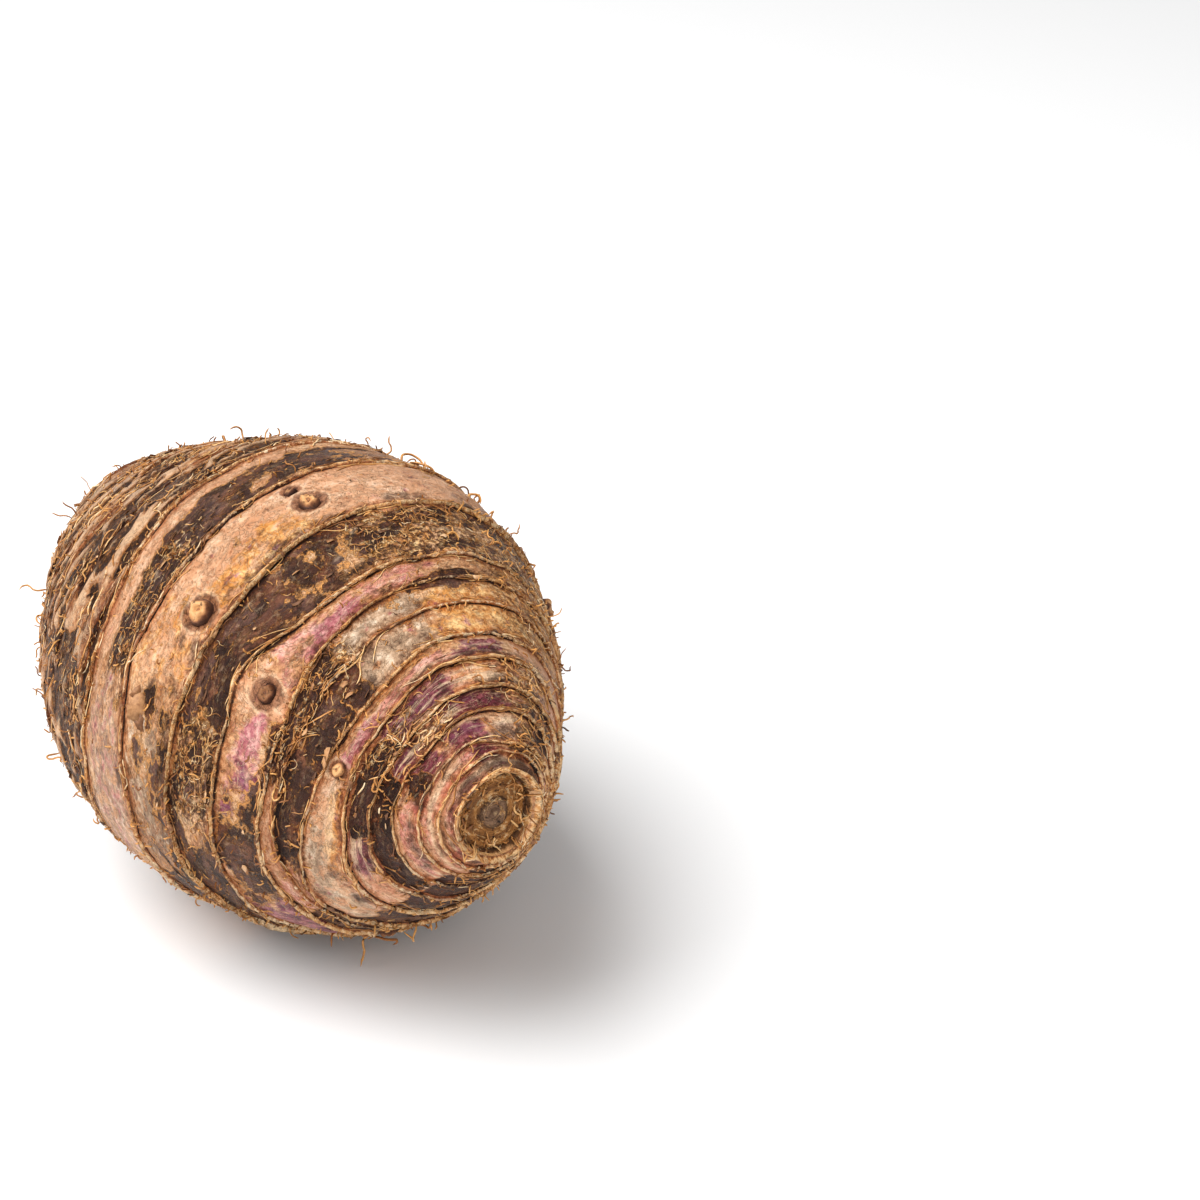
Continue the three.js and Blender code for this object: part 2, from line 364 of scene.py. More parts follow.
# %% Finish maps over the skin
WARP_RINGS = 0.1
WARP_DEGREES = 6
BRAID_SIZE = 5.2
BRAID_REACH = 3.6
BRAID_COVER = 0.12
BASE_TO_RING = 6.7
CROWN_FROM_RING = 13.5

form = form_points(skin_run, angles, 0)
grain_parts = np.broadcast_arrays(skin_run.mean(axis=1)[:, None], form[..., 1], form[..., 2])
grain = np.stack(grain_parts, axis=-1)


def streaks_at(size, seed, reach=6):
    """Noise drawn out along the rings: about size across them and reach times that along them."""
    return noise_at(grain * np.array([1, 1 / reach, 1 / reach]), size, seed)


def braids_at(size, reach, cover):
    """Strands that part and join again, round long gaps: 1 on a strand, 0 in a gap."""
    drawn_out = grain * np.array([1, 1 / reach, 1 / reach]) / size
    drawn_out = drawn_out + 0.3 * streaks_at(size, 40, 2)[..., None]
    nearest = np.array([noise.voronoi(Vector(point))[0][:2] for point in drawn_out.reshape(-1, 3)])
    from_edge = (nearest[:, 1] - nearest[:, 0]).reshape(grain.shape[:2])
    return step_up((cover - from_edge) / 0.12)


ring_warp = noise_at(form, 7, 31) + 0.7 * noise_at(form, 2.6, 32)
bearing_warp = noise_at(form, 8, 33) + 0.6 * noise_at(form, 3, 34)
warped_ring = row_ring[:, None] + WARP_RINGS * ring_warp
warped_bearing = bearings + WARP_DEGREES * bearing_warp
maps = {kind: np.zeros(skin_run.shape) for kind in PATCHES}
for kind, patches in PATCHES.items():
    for patch in patches:
        maps[kind] = np.maximum(maps[kind], patch_map(kind, patch, warped_ring, warped_bearing))

near_base = step_up((BASE_TO_RING - row_ring[:, None]) / 0.7)
near_crown = step_up(row_ring[:, None] - CROWN_FROM_RING)
braids = braids_at(BRAID_SIZE, BRAID_REACH, BRAID_COVER + 0.22 * noise_at(form, 14, 35))
maps["crust"] = np.maximum(maps["crust"], near_base * (1 - braids))
thicket = step_up(noise_at(form, 9, 37) / 0.3 - 0.3)
maps["tangle"] = np.maximum(maps["tangle"], 0.7 * near_base * (1 - braids) * thicket)
covers = [maps[kind] for kind in ("bare", "bloom", "rose", "wine", "ochre", "paper")]
free = 1 - np.clip(sum(covers), 0, 1)
stray_crust = step_up((streaks_at(3.2, 38) + 0.4 * streaks_at(1.2, 39)) / 0.25 - 1.1)
maps["crust"] = np.maximum(maps["crust"], 0.9 * free * (1 - near_base) * stray_crust)
print("covered, %:", {kind: round(100 * (cover > 0.5).mean()) for kind, cover in maps.items()})

# %% [markdown]
# Height of the skin
#
# The height over the egg form is a sum: lips and grooves, the slow rise of each band towards
# its lip, broad lumps, wrinkles drawn out along the rings, the sunken crust, and a collar round
# each eye bud. All of it is real geometry, because a bump in the material would leave the
# outline smooth and the lips without shadows.

# %% Height of the skin
BUDS = [
    # run, bearing, radius, height, width of the dark halo, how dark the bud is
    (110.6, 92.5, 2.2, 1.1, 1.5, 0.0),
    (103.6, 93, 1.5, 0.7, 0.7, 0.6),
    (118, 132, 2.5, 1.7, 1.4, 0.0),
    (141, 140, 1.8, 1.3, 1.5, 0.75),
    (161.3, 153, 1.5, 0.8, 0.3, 0.0),
    (128, 22, 2.1, 1.5, 1.3, 0.2),
    (104, 338, 2.0, 1.4, 1.3, 0.5),
    (82, 214, 2.2, 1.5, 1.2, 0.0),
    (66, 48, 2.0, 1.4, 1.3, 0.3),
    (140, 262, 2.0, 1.4, 1.4, 0.7),
]
LUMPS = 0.65
DENTS = 0.22
WRINKLES = 0.16
CRUST_DEPTH = 0.32
BRAID_HEIGHT = 0.42
CROWN_LIPS = 0.35
COLLAR_HEIGHT = 0.4
COLLAR_WIDTH = 0.6

ring_number = row_ring.astype(int)
lip_number = np.clip(ring_number + 1, 0, len(SCARS) - 1)
at_edge = row_lip == LIP_ROWS[-1][1]
lip_number[at_edge] = np.round(row_ring[at_edge]).astype(int)
lip_size = np.array(lip_heights)[lip_number][:, None]
raggedness = 0.85 + 0.6 * streaks_at(9, 41, 3) + 0.3 * streaks_at(2.4, 42, 2)
raggedness = raggedness - near_base * (0.35 - 0.8 * streaks_at(7, 48, 4))
lips = row_lip[:, None] * lip_size * np.clip(raggedness, 0.1, 1.4) * (1 + CROWN_LIPS * near_crown)
gaping = np.clip(0.6 + 1.2 * streaks_at(10, 50, 4), 0.05, 1.3)
grooves = row_groove[:, None] * (0.2 + lip_size) * gaping
shingles = SHINGLE_RISE * lip_size * (row_ring - ring_number - 0.5)[:, None]
dents = DENTS * noise_at(form, 6.5, 44)
broad = LUMPS * noise_at(form, 24, 43) + dents
wrinkles = WRINKLES * (streaks_at(1.6, 45) + 0.6 * streaks_at(0.8, 46))
wrinkles = wrinkles + 0.12 * noise_at(form, 1.7, 47)
sunken = -CRUST_DEPTH * maps["crust"] + BRAID_HEIGHT * near_base * braids
tufts = 0.3 * maps["tangle"] * np.abs(noise_at(form, 1.6, 49)) ** 0.7

halo = np.zeros(skin_run.shape)
collars = np.zeros(skin_run.shape)
for run, bearing, radius, _, halo_width, _ in BUDS:
    foot = form_points(np.array(run), np.radians(bearing), 0)
    distance = np.linalg.norm(form - foot, axis=-1)
    halo = np.maximum(halo, step_up((radius + halo_width - distance) / 0.7))
    collars += COLLAR_HEIGHT * np.exp(-(((distance - radius - halo_width) / COLLAR_WIDTH) ** 2))
    collars -= 0.4 * step_up((radius + 0.5 - distance) / 0.5)

skin_lift = lips + grooves + shingles + broad + wrinkles + sunken + tufts + collars
print("height over the form, mm:", round(skin_lift.min(), 2), "to", round(skin_lift.max(), 2))

# %% [markdown]
# Hollows between the ridges
#
# The material paints shade into the hollows of the skin and a highlight on its high edges. To tell the
# two apart, each place's height is compared with the average height round it. The answer becomes one
# more map, which the material reads.

# %% Hollows between the ridges
HOLLOW_ROWS = 3
HOLLOW_COLUMNS = 4
HOLLOW_DEPTH = 0.3

relief = lips + grooves + wrinkles + sunken + tufts + collars + dents
shifts = range(-HOLLOW_COLUMNS, HOLLOW_COLUMNS + 1)
blurred = np.mean([np.roll(relief, shift, axis=1) for shift in shifts], axis=0)
padded = np.pad(blurred, ((HOLLOW_ROWS, HOLLOW_ROWS), (0, 0)), mode="edge")
shifts = range(2 * HOLLOW_ROWS + 1)
blurred = np.mean([padded[shift:shift + len(relief)] for shift in shifts], axis=0)
hollow = np.clip(0.5 + 0.5 * (blurred - relief) / HOLLOW_DEPTH, 0, 1)
print("hollow on average:", round(float(hollow.mean()), 2))

# %% [markdown]
# The two ends
#
# At the crown the last leaves left a sunken round scar: a thick rim, a dark trough inside it,
# and a fibrous plug in the middle. The base is the rough stub where the root broke off its
# parent. Both are turned shapes, so each is more rows of the same mesh, drawn in from the rim
# to a point, and the whole skin stays one closed surface.

# %% The crown scar and the base stub
CROWN_PROFILE = {
    # part of the rim's radius: depth below its plane
    0: 0.5, 0.07: 0.45, 0.12: 0.8, 0.32: 0.7, 0.4: 1.15, 0.6: 1.1, 0.78: 1.1,
    0.86: 1.3, 0.91: 1.15, 0.94: 0.3, 0.98: -0.2,
}
BASE_PROFILE = {0: -1.7, 0.3: -1.4, 0.6: -1.3, 0.85: -0.5, 0.98: -0.2}
CROWN_ROWS = 26
BASE_ROWS = 12


def end_rows(rim_run, profile, count, outward, seed):
    """Rows drawn in from a rim, each at a part of the rim's radius and a depth below its plane."""
    share = np.interp(rim_run, profile_run, profile_share)
    parts = np.linspace(0.97, 0.04, count)[:, None]
    radius = mean_radius(share) * section_factor(share, angles) * parts
    spot = [radius * np.cos(angles), radius * np.sin(angles), parts * 60 + 0 * angles]
    spot = np.stack(spot, axis=-1)
    fibrous = 0.3 * noise_at(spot, 2.2, seed) + 0.16 * noise_at(spot, 0.9, seed + 1)
    depth = np.interp(parts, list(profile), list(profile.values())) + fibrous * (1 - parts**8)
    points = place((share - 0.5) * LENGTH - depth * outward, radius, angles, share)
    return points, np.broadcast_to(parts, radius.shape)


crown, crown_part = end_rows(CROWN_RIM_RUN, CROWN_PROFILE, CROWN_ROWS, 1, 51)
base, base_part = end_rows(BASE_RIM_RUN, BASE_PROFILE, BASE_ROWS, -1, 53)
print("rows of the crown scar and the base stub:", len(crown), len(base))

# %% [markdown]
# One closed mesh
#
# The rows of the base stub, the skin and the crown scar are stacked into one grid. It is set on
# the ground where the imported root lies, with a small flat under the belly, and a point at each
# end closes it. Numpy makes all of the faces at once, because a loop over so many would be slow.
# The maps are stored on the mesh's points, where a material can read them by name.

# %% The whole skin, set on the ground
skin_points = form_points(skin_run, angles, skin_lift)
surface = np.concatenate([base[::-1], skin_points, crown])

lying_form = form_points(skin_run, angles, 0).reshape(-1, 3)
form_low, form_high = lying_form.min(axis=0), lying_form.max(axis=0)
cad_middle = np.array(root_low + root_high) / 2 / MM
seat = cad_middle - (form_low + form_high) / 2
seat[2] = root_low.z / MM - FLAT_DEPTH - form_low[2]
surface = surface + seat
surface[..., 2] = np.maximum(surface[..., 2], FLAT_LEVEL)
print("middle of the form's axis, mm:", seat.round(2))


def spread(skin_map, base_map=0.0, crown_map=0.0):
    """A map over the whole mesh, from a map over the skin and one for each end."""
    parts = [(base_map, base), (skin_map, skin_points), (crown_map, crown)]
    return np.concatenate([np.broadcast_to(value, points.shape[:2]) for value, points in parts])


rim_radius = float(mean_radius(np.interp(CROWN_RIM_RUN, profile_run, profile_share)))
stub_radius = float(mean_radius(np.interp(BASE_RIM_RUN, profile_run, profile_share)))
run_map = spread(
    skin_run.mean(axis=1)[:, None],
    BASE_RIM_RUN - stub_radius * (1 - base_part[::-1]),
    CROWN_RIM_RUN + rim_radius * (1 - crown_part),
)
row_runs = np.maximum.accumulate(run_map[:, 0] + 1e-4 * np.arange(len(surface)))
skin_row_runs = row_runs[BASE_ROWS:BASE_ROWS + len(rows)]
maps = {kind: spread(cover) for kind, cover in maps.items()}
lip_map = spread(np.clip(row_lip, 0, 1)[:, None])
base_side = spread(near_base, base_map=1.0)
crown_side = spread(near_crown)
crown_map = spread(0.0, crown_map=np.clip((1 - crown_part) * 8, 0, 1))

# %% The skin's mesh
def wrapped_faces(row_count, columns):
    """Quads of a grid that closes on itself round the columns, with its faces turned out."""
    row, column = np.meshgrid(np.arange(row_count - 1), np.arange(columns), indexing="ij")
    start = row * columns
    following = (column + 1) % columns
    corners = [start + column, start + following, start + columns + following, start + columns + column]
    return np.stack(corners, axis=-1).reshape(-1, 4)


def add_object(name, data):
    """A new object in the scene."""
    made = bpy.data.objects.new(name, data)
    bpy.context.scene.collection.objects.link(made)
    return made


def make_piece(name, points, faces, maps_on_points=None):
    """A smooth-shaded mesh object from points in millimetres, with named maps on its points."""
    mesh = bpy.data.meshes.new(name)
    mesh.from_pydata(np.asarray(points).reshape(-1, 3) * MM, [], faces)
    for label, values in (maps_on_points or {}).items():
        values = np.asarray(values, dtype=np.float32)
        kind = "FLOAT_VECTOR" if values.ndim == 2 else "FLOAT"
        field = "vector" if values.ndim == 2 else "value"
        mesh.attributes.new(label, kind, "POINT").data.foreach_set(field, values.ravel())
    mesh.shade_smooth()
    return add_object(name, mesh)


row_count = len(surface)
poles = [surface[0].mean(axis=0), surface[-1].mean(axis=0)]
closing = [(row_count * COLUMNS, (c + 1) % COLUMNS, c) for c in range(COLUMNS)]
top_row = (row_count - 1) * COLUMNS
closing += [
    (row_count * COLUMNS + 1, top_row + c, top_row + (c + 1) % COLUMNS) for c in range(COLUMNS)
]
skin_faces = wrapped_faces(row_count, COLUMNS).tolist() + closing

skin_maps = {
    "grain_at": np.stack([run_map, surface[..., 1] - seat[1], surface[..., 2] - seat[2]], axis=-1),
    **maps,
    "lip": spread(np.clip(lips / 0.45, 0, 1)),
    "groove": spread(np.clip(-grooves * 3, 0, 1)),
    "scar_gap": spread(scar_gap, 1.0, 2.0),
    "hollow": spread(hollow, 0.5, 0.5),
    "near_base": base_side,
    "near_crown": crown_side,
    "halo": spread(halo),
    "crown_part": spread(1.2, 1.2, crown_part),
    "base_part": spread(1.2, base_part[::-1], 1.2),
}
for label, values in skin_maps.items():
    flat = values.reshape(-1, 3) if values.ndim == 3 else values.reshape(-1)
    skin_maps[label] = np.concatenate([flat, flat[:1], flat[-1:]])
skin = make_piece("skin", np.concatenate([surface.reshape(-1, 3), poles]), skin_faces, skin_maps)
print("skin triangles:", 2 * len(skin_faces) - 2 * COLUMNS)

# %% [markdown]
# Placing things on the skin
#
# Fibres, flakes and buds have to lie on the finished skin, lips and all. Shooting rays at the
# mesh would do it. But the skin is a grid, so a run and a bearing already say where to look in
# it: the script reads the four nearest points and blends between them. The run used here is
# counted along the rows, which follow the rings, so a steady run stays beside one ring.

# %% Reading the skin at any run and bearing
def unit(vectors, least=0.0):
    """Vectors scaled to length 1. A least length keeps a zero vector from dividing by zero."""
    return vectors / (np.linalg.norm(vectors, axis=-1, keepdims=True) + least)


down_rows = np.gradient(surface, axis=0)
round_columns = np.roll(surface, -1, axis=1) - np.roll(surface, 1, axis=1)
normals = unit(np.cross(round_columns, down_rows), 1e-9)
for _ in range(2):
    near = np.roll(normals, 1, axis=1) + np.roll(normals, -1, axis=1)
    normals[1:-1] += 0.5 * near[1:-1] + 0.5 * (normals[2:] + normals[:-2])
    normals = unit(normals)
outward = surface - surface.mean(axis=1, keepdims=True)
row_radius = np.maximum(np.linalg.norm(outward, axis=-1).mean(axis=1), 0.6)
print("normals point out:", bool((normals * outward).sum(axis=-1).mean() > 0))


def blend_grid(grid, run, bearing):
    """A grid of values over the skin, read at any runs and bearings."""
    row = np.interp(run, row_runs, np.arange(row_count))
    low = np.clip(row.astype(int), 0, row_count - 2)
    row_part = row - low
    left = np.floor(bearing).astype(int)
    column_part = bearing - left
    left, right = left % COLUMNS, (left + 1) % COLUMNS
    if grid.ndim == 3:
        row_part, column_part = row_part[..., None], column_part[..., None]
    near = grid[low, left] * (1 - column_part) + grid[low, right] * column_part
    far = grid[low + 1, left] * (1 - column_part) + grid[low + 1, right] * column_part
    return near * (1 - row_part) + far * row_part


def on_skin(run, bearing, lift):
    """Points over the skin at a run and bearing, lifted off it by some millimetres."""
    point = blend_grid(surface, run, bearing)
    return point + blend_grid(normals, run, bearing) * np.asarray(lift)[..., None]

# %% Places by true run and places by chance
def run_along_rows(run, bearing):
    """The run along the rows of a place whose true run is known."""
    return float(np.interp(run, skin_run[:, int(bearing) % COLUMNS], skin_row_runs))


def scatter(count, density):
    """Runs and bearings scattered by chance: a place is kept as often as its density says."""
    density = np.clip(density, 0, 1)
    found = np.empty((0, 2))
    while len(found) < count:
        run = dice.uniform(row_runs[1], row_runs[-2], 4 * count)
        bearing = dice.uniform(0, COLUMNS, 4 * count)
        roomy = np.interp(run, row_runs, row_radius) / row_radius.max()
        keep = dice.random(4 * count) < roomy * blend_grid(density, run, bearing)
        found = np.concatenate([found, np.stack([run, bearing], axis=1)[keep]])
    return found[:count, 0], found[:count, 1]

# %% [markdown]
# Fibres
#
# The old leaf bases rot down to strings, which cling along the rings and tangle over the dark
# crust. Blender's hair would be quick to comb, but it leaves no mesh behind. So each fibre is
# walked over the skin step by step, with a heading that drifts at random, and a thin
# three-sided tube that ends in two points is built round its path.

# %% Walking fibres over the skin
def walk_on_skin(starts, step_count, lengths, lean_spread, drift, lift, homing=0.0, first_lean=0.0):
    """Paths over the skin from runs and bearings, each leaning off its ring by chance."""
    run, bearing = (start.copy() for start in starts)
    count = len(run)
    side = np.pi * dice.integers(0, 2, count)
    lean = first_lean + dice.normal(0, lean_spread, count)
    turn = dice.normal(0, drift, count)
    step = lengths / step_count
    path = np.empty((count, step_count + 1, 3))
    for i in range(step_count + 1):
        path[:, i] = on_skin(run, bearing, lift[:, i])
        radius = np.interp(run, row_runs, row_radius)
        turn = 0.75 * turn + dice.normal(0, drift, count)
        lean = lean + turn * step - homing * np.sin(lean)
        run = np.clip(run + step * np.sin(lean + side), row_runs[1], row_runs[-2])
        bearing = bearing + np.degrees(step * np.cos(lean + side) / radius)
    return path


def arched_lift(count, step_count, rest, arch, ends):
    """How far each fibre stands off the skin along its length: resting, arched or curling up."""
    part = np.linspace(0, 1, step_count + 1)
    waves = part * dice.uniform(0.6, 2.4, (count, 1)) + dice.random((count, 1))
    wave = np.abs(np.sin(np.pi * waves))
    curl = np.abs(2 * part - 1) ** 5 * dice.random((count, 1)) ** 2 * ends
    return rest + arch * wave * dice.random((count, 1)) ** 2 + curl

# %% Thin tubes round the paths
TUBE_SIDES = 3
LOWEST = 0.02


def repeat_faces(faces, size, count):
    """The faces of one small thing that has size points, repeated for count of them."""
    return (np.array(faces)[None] + size * np.arange(count)[:, None, None]).reshape(-1, 3)


def tubes(paths, thickness, tints):
    """Points, faces and tints of thin tapered tubes, one for each path, pointed at both ends."""
    count, along, _ = paths.shape
    ahead = unit(np.gradient(paths, axis=1), 1e-9)
    side = unit(np.cross(ahead, np.array([0.31, 0.47, 0.83])), 1e-9)
    up = np.cross(side, ahead)
    taper = np.clip(1.25 - np.abs(np.linspace(-1, 1, along)) ** 3, 0.3, 1)[1:-1]
    radius = (thickness[:, None] / 2 * taper)[..., None, None]
    corner = 2 * np.pi * np.arange(TUBE_SIDES)[:, None] / TUBE_SIDES
    inner = slice(1, -1)
    ring = np.cos(corner) * side[:, inner, None] + np.sin(corner) * up[:, inner, None]
    rings = (paths[:, inner, None] + radius * ring).reshape(count, -1, 3)
    points = np.concatenate([paths[:, :1], rings, paths[:, -1:]], axis=1)
    size = points.shape[1]
    last = size - 1 - TUBE_SIDES
    faces = []
    for j in range(TUBE_SIDES):
        k = (j + 1) % TUBE_SIDES
        faces += [(0, 1 + k, 1 + j), (size - 1, last + j, last + k)]
        for a in range(1, last, TUBE_SIDES):
            next_j, next_k = a + j + TUBE_SIDES, a + k + TUBE_SIDES
            faces += [(a + j, a + k, next_k), (a + j, next_k, next_j)]
    points[..., 2] = np.maximum(points[..., 2], LOWEST)
    return points.reshape(-1, 3), repeat_faces(faces, size, count), np.repeat(tints, size)


def make_strands(name, paths, thickness, tints):
    """A mesh object of all the paths as thin tubes."""
    points, faces, point_tints = tubes(paths, thickness, tints)
    piece = make_piece(name, points, faces.tolist(), {"tint": point_tints})
    print(name, "strands:", len(paths), "triangles:", len(faces))
    return piece

# %% [markdown]
# Fibres that cling to the skin
#
# Five kinds of fibre lie on the skin. Fine strings follow the torn lips, longer ones follow the
# rings round the base, short ones tangle over the crust, strips peel off near the crown, and a
# few thick ones bridge the trough of the crown scar. They are one recipe with different numbers:
# where they start, how long and thick they are, how far they wander and how far they stand off.

# %% One recipe for clinging fibres
def clinging_fibres(name, starts, steps, lengths, widths, tint, rest, arch, ends, **walk):
    """Fibres walked over the skin, with ranges of length and width, and a beta spread of tint."""
    count = len(starts[0])
    length = dice.uniform(*lengths, count)
    lift = arched_lift(count, steps, rest, arch, ends)
    paths = walk_on_skin(starts, steps, length, lift=lift, **walk)
    return make_strands(name, paths, dice.uniform(*widths, count), dice.beta(*tint, count))

# %% Fibres along the scar lips
LIP_FIBRES = 1200

lip_row_runs = skin_row_runs[row_lip == 1.0]
lip_row_lengths = np.interp(lip_row_runs, row_runs, row_radius)
lip_starts = (
    dice.choice(lip_row_runs, LIP_FIBRES, p=lip_row_lengths / lip_row_lengths.sum())
    + dice.normal(0, 0.25, LIP_FIBRES),
    dice.uniform(0, COLUMNS, LIP_FIBRES),
)
lip_fibres = clinging_fibres(
    "lip_fibres", lip_starts, steps=13, lengths=(2, 8), widths=(0.14, 0.34), tint=(2.4, 1.6),
    rest=0.05, arch=0.16, ends=0.6, lean_spread=0.16, drift=0.14, homing=0.2,
)

# %% Fibres along the rings
RING_FIBRES = 420

ring_density = 0.03 * maps["tangle"] + 0.3 * base_side - 0.075 * maps["bare"]
ring_fibres = clinging_fibres(
    "ring_fibres", scatter(RING_FIBRES, ring_density), steps=15, lengths=(2, 7),
    widths=(0.2, 0.42), tint=(2.6, 1.3), rest=0.05, arch=0.3, ends=0.8, lean_spread=0.3, drift=0.4,
)

# %% Tangled fibres
TANGLED_FIBRES = 2300

tangled_density = 0.02 + 0.8 * maps["tangle"] + 0.07 * maps["crust"] + 0.25 * lip_map
tangled_fibres = clinging_fibres(
    "tangled_fibres", scatter(TANGLED_FIBRES, tangled_density - 0.2 * maps["bare"]), steps=11,
    lengths=(0.8, 3.4), widths=(0.1, 0.21), tint=(2.2, 1.5), rest=0.05, arch=0.45, ends=0.4,
    lean_spread=0.8, drift=0.6,
)

# %% Torn strips near the crown
STRIPS = 170

strip_density = (0.02 + maps["tangle"] + 0.2 * lip_map) * crown_side
torn_strips = clinging_fibres(
    "torn_strips", scatter(STRIPS, strip_density), steps=8, lengths=(1.0, 4.0), widths=(0.2, 0.4),
    tint=(3.0, 1.5), rest=0.04, arch=0.3, ends=0.6, lean_spread=0.6, drift=0.3,
)

# %% Fibres over the crown scar's trough
CROWN_FIBRES = 44

crown_starts = (
    CROWN_RIM_RUN + dice.uniform(0.2, 2.4, CROWN_FIBRES),
    dice.uniform(0, COLUMNS, CROWN_FIBRES),
)
crown_fibres = clinging_fibres(
    "crown_fibres", crown_starts, steps=9, lengths=(1.4, 3.6), widths=(0.3, 0.5), tint=(3.0, 1.8),
    rest=0.1, arch=0.6, ends=0.3, lean_spread=0.8, drift=0.4, first_lean=np.pi / 2,
)

# %% [markdown]
# Hairs that stand up
#
# Root hairs stand out from the torn lips and from the tangle, and they make the root's outline
# fuzzy. Most are short and bend a little, which a drifting heading gives. Some are longer
# rootlets that curl. A curl comes from turning the heading round an axis that itself wanders.
# The longest ones show against the outline, so they are listed by place.

# %% Standing hairs
HAIRS = 2700
HAIR_STEPS = 7
HAIR_CURL = 0.4
LONG_HAIR_SHARE = 0.04
LONG_HAIR_FACTOR = 2.5
HAIR_FOOT = -0.1

hair_density = 0.06 + 0.6 * lip_map + 0.15 * maps["tangle"] - 0.05 * maps["bare"] - 0.1 * crown_map
hair_run, hair_bearing = scatter(HAIRS, hair_density)
hair_lengths = dice.uniform(0.6, 2.2, HAIRS)
hair_lengths *= np.where(dice.random(HAIRS) < LONG_HAIR_SHARE, LONG_HAIR_FACTOR, 1)
hair_points = on_skin(hair_run, hair_bearing, np.full(HAIRS, HAIR_FOOT))
hair_normals = blend_grid(normals, hair_run, hair_bearing)
hair_heading = unit(hair_normals + dice.normal(0, 0.6, (HAIRS, 3)))
hair_swirl = dice.normal(0, HAIR_CURL, (HAIRS, 3))
hair_paths = np.empty((HAIRS, HAIR_STEPS + 1, 3))
for i in range(HAIR_STEPS + 1):
    hair_paths[:, i] = hair_points
    hair_heading = unit(hair_heading + (hair_swirl * 0.6 + dice.normal(0, 0.3, (HAIRS, 3))))
    hair_points = hair_points + hair_heading * (hair_lengths / HAIR_STEPS)[:, None]
hair_widths = dice.uniform(0.22, 0.44, HAIRS)
root_hairs = make_strands("root_hairs", hair_paths, hair_widths, dice.beta(2.2, 1.5, HAIRS))

# %% Curly hairs
CURL_STEPS = 22
CURL_SPREAD = 0.25
CURL_BEND = 0.24
CURL_STRETCH = 1.2
SHORT_CURLS = 130
CURLS = np.array([
    # run, bearing, length
    (130, 254, 7.0), (133, 257, 11.0), (136, 259, 9.0), (139, 262, 8.0), (147, 266, 7.0),
    (150, 269, 9.0), (128, 249, 4.0), (124, 244, 3.5), (119, 237, 3.0), (113, 223, 3.0),
    (106, 209, 2.5),
    (82, 190, 8.0), (84, 191, 4.0), (77, 187, 4.5), (91, 198, 4.0), (95, 201, 3.5), (70, 181, 3.0),
    (48, 166, 6.0), (50, 167, 3.5), (57, 172, 7.0), (62, 174, 3.0), (36, 164, 3.0),
    (50, 72, 7.0), (54, 71, 5.0), (66, 67, 3.5), (34, 76, 3.0),
    (82, 55, 3.5), (86, 53, 4.0), (91, 51, 4.5), (95, 49, 11.0), (98, 48, 7.0), (104, 46, 4.0),
    (108, 44, 8.0), (110, 43, 8.0), (112, 41, 5.0), (116, 36, 4.0), (121, 30, 4.0), (127, 23, 3.5),
    (140, 14, 4.0), (150, 2, 3.5), (158, 344, 4.5), (163, 330, 5.0), (165, 318, 4.0),
    (160, 290, 4.0),
])
print("longest curl, mm:", CURL_STRETCH * CURLS[:, 2].max())

# %% Growing the curls
curl_cover = 0.05 + 0.6 * maps["tangle"] + 0.25 * lip_map + 0.1 * maps["crust"]
short_run, short_bearing = scatter(SHORT_CURLS, curl_cover)
long_run = [run_along_rows(run, bearing) for run, bearing, length in CURLS]
curl_run = np.concatenate([long_run, short_run])
curl_bearing = np.concatenate([CURLS[:, 1] + dice.normal(0, 0.5, len(CURLS)), short_bearing])
curl_length = np.concatenate([CURLS[:, 2], dice.uniform(1.6, 4.0, SHORT_CURLS)])[:, None]
curl_points = on_skin(curl_run, curl_bearing, np.full(len(curl_run), HAIR_FOOT))
curl_heading = blend_grid(normals, curl_run, curl_bearing)
curl_heading = curl_heading + dice.normal(0, CURL_SPREAD, curl_points.shape)
curl_axis = dice.normal(0, 1, curl_points.shape)
curl_paths = np.empty((len(curl_run), CURL_STEPS + 1, 3))
for i in range(CURL_STEPS + 1):
    curl_paths[:, i] = curl_points
    curl_axis += dice.normal(0, 0.45, curl_axis.shape)
    curl_heading = unit(curl_heading + CURL_BEND * np.cross(curl_axis, curl_heading))
    curl_axis = unit(curl_axis)
    curl_points = curl_points + curl_heading * (CURL_STRETCH * curl_length / CURL_STEPS)
curl_widths = dice.uniform(0.22, 0.36, len(curl_run)) + 0.03 * curl_length[:, 0]
curl_tints = dice.beta(2.2, 1.5, len(curl_run))
curly_hairs = make_strands("curly_hairs", curl_paths, curl_widths, curl_tints)

# %% [markdown]
# Flakes
#
# Scraps of the dry outer skin have come half away. Each is a thin chip with an uneven outline
# that follows the skin at its root edge and lifts at the other. A chip is a closed sliver with
# a top, an underside and an edge, so that it holds up from every side. A few big ones, such as
# the curled flap on a pale band, are listed by place.

# %% Places and sizes of the flakes
FLAKES = 850
FLAKE_CORNERS = 8
FLAKE_THICKNESS = 0.07
FLAKE_LIFT = 0.1
BIG_FLAKES = [
    # ring, bearing, length, width, how far it stands up, tint. A length and a width below 0
    # turn the flake round, so that it lifts towards the base.
    (8.36, 158.6, -2.7, -1.05, 1.3, 0.52),
    (8.3, 155.4, -1.3, -0.7, 1.1, 0.4),
    (8.44, 161.6, -1.4, -0.5, 0.9, 0.25),
    (12.93, 148.5, 1.8, 0.8, 0.5, 0.6),
    (12.95, 152.0, 1.3, 0.6, 0.4, 0.6),
    (15.8, 116.0, 1.2, 0.6, 0.3, 0.6),
    (6.2, 160.0, 1.5, 0.9, 0.8, 0.5),
]

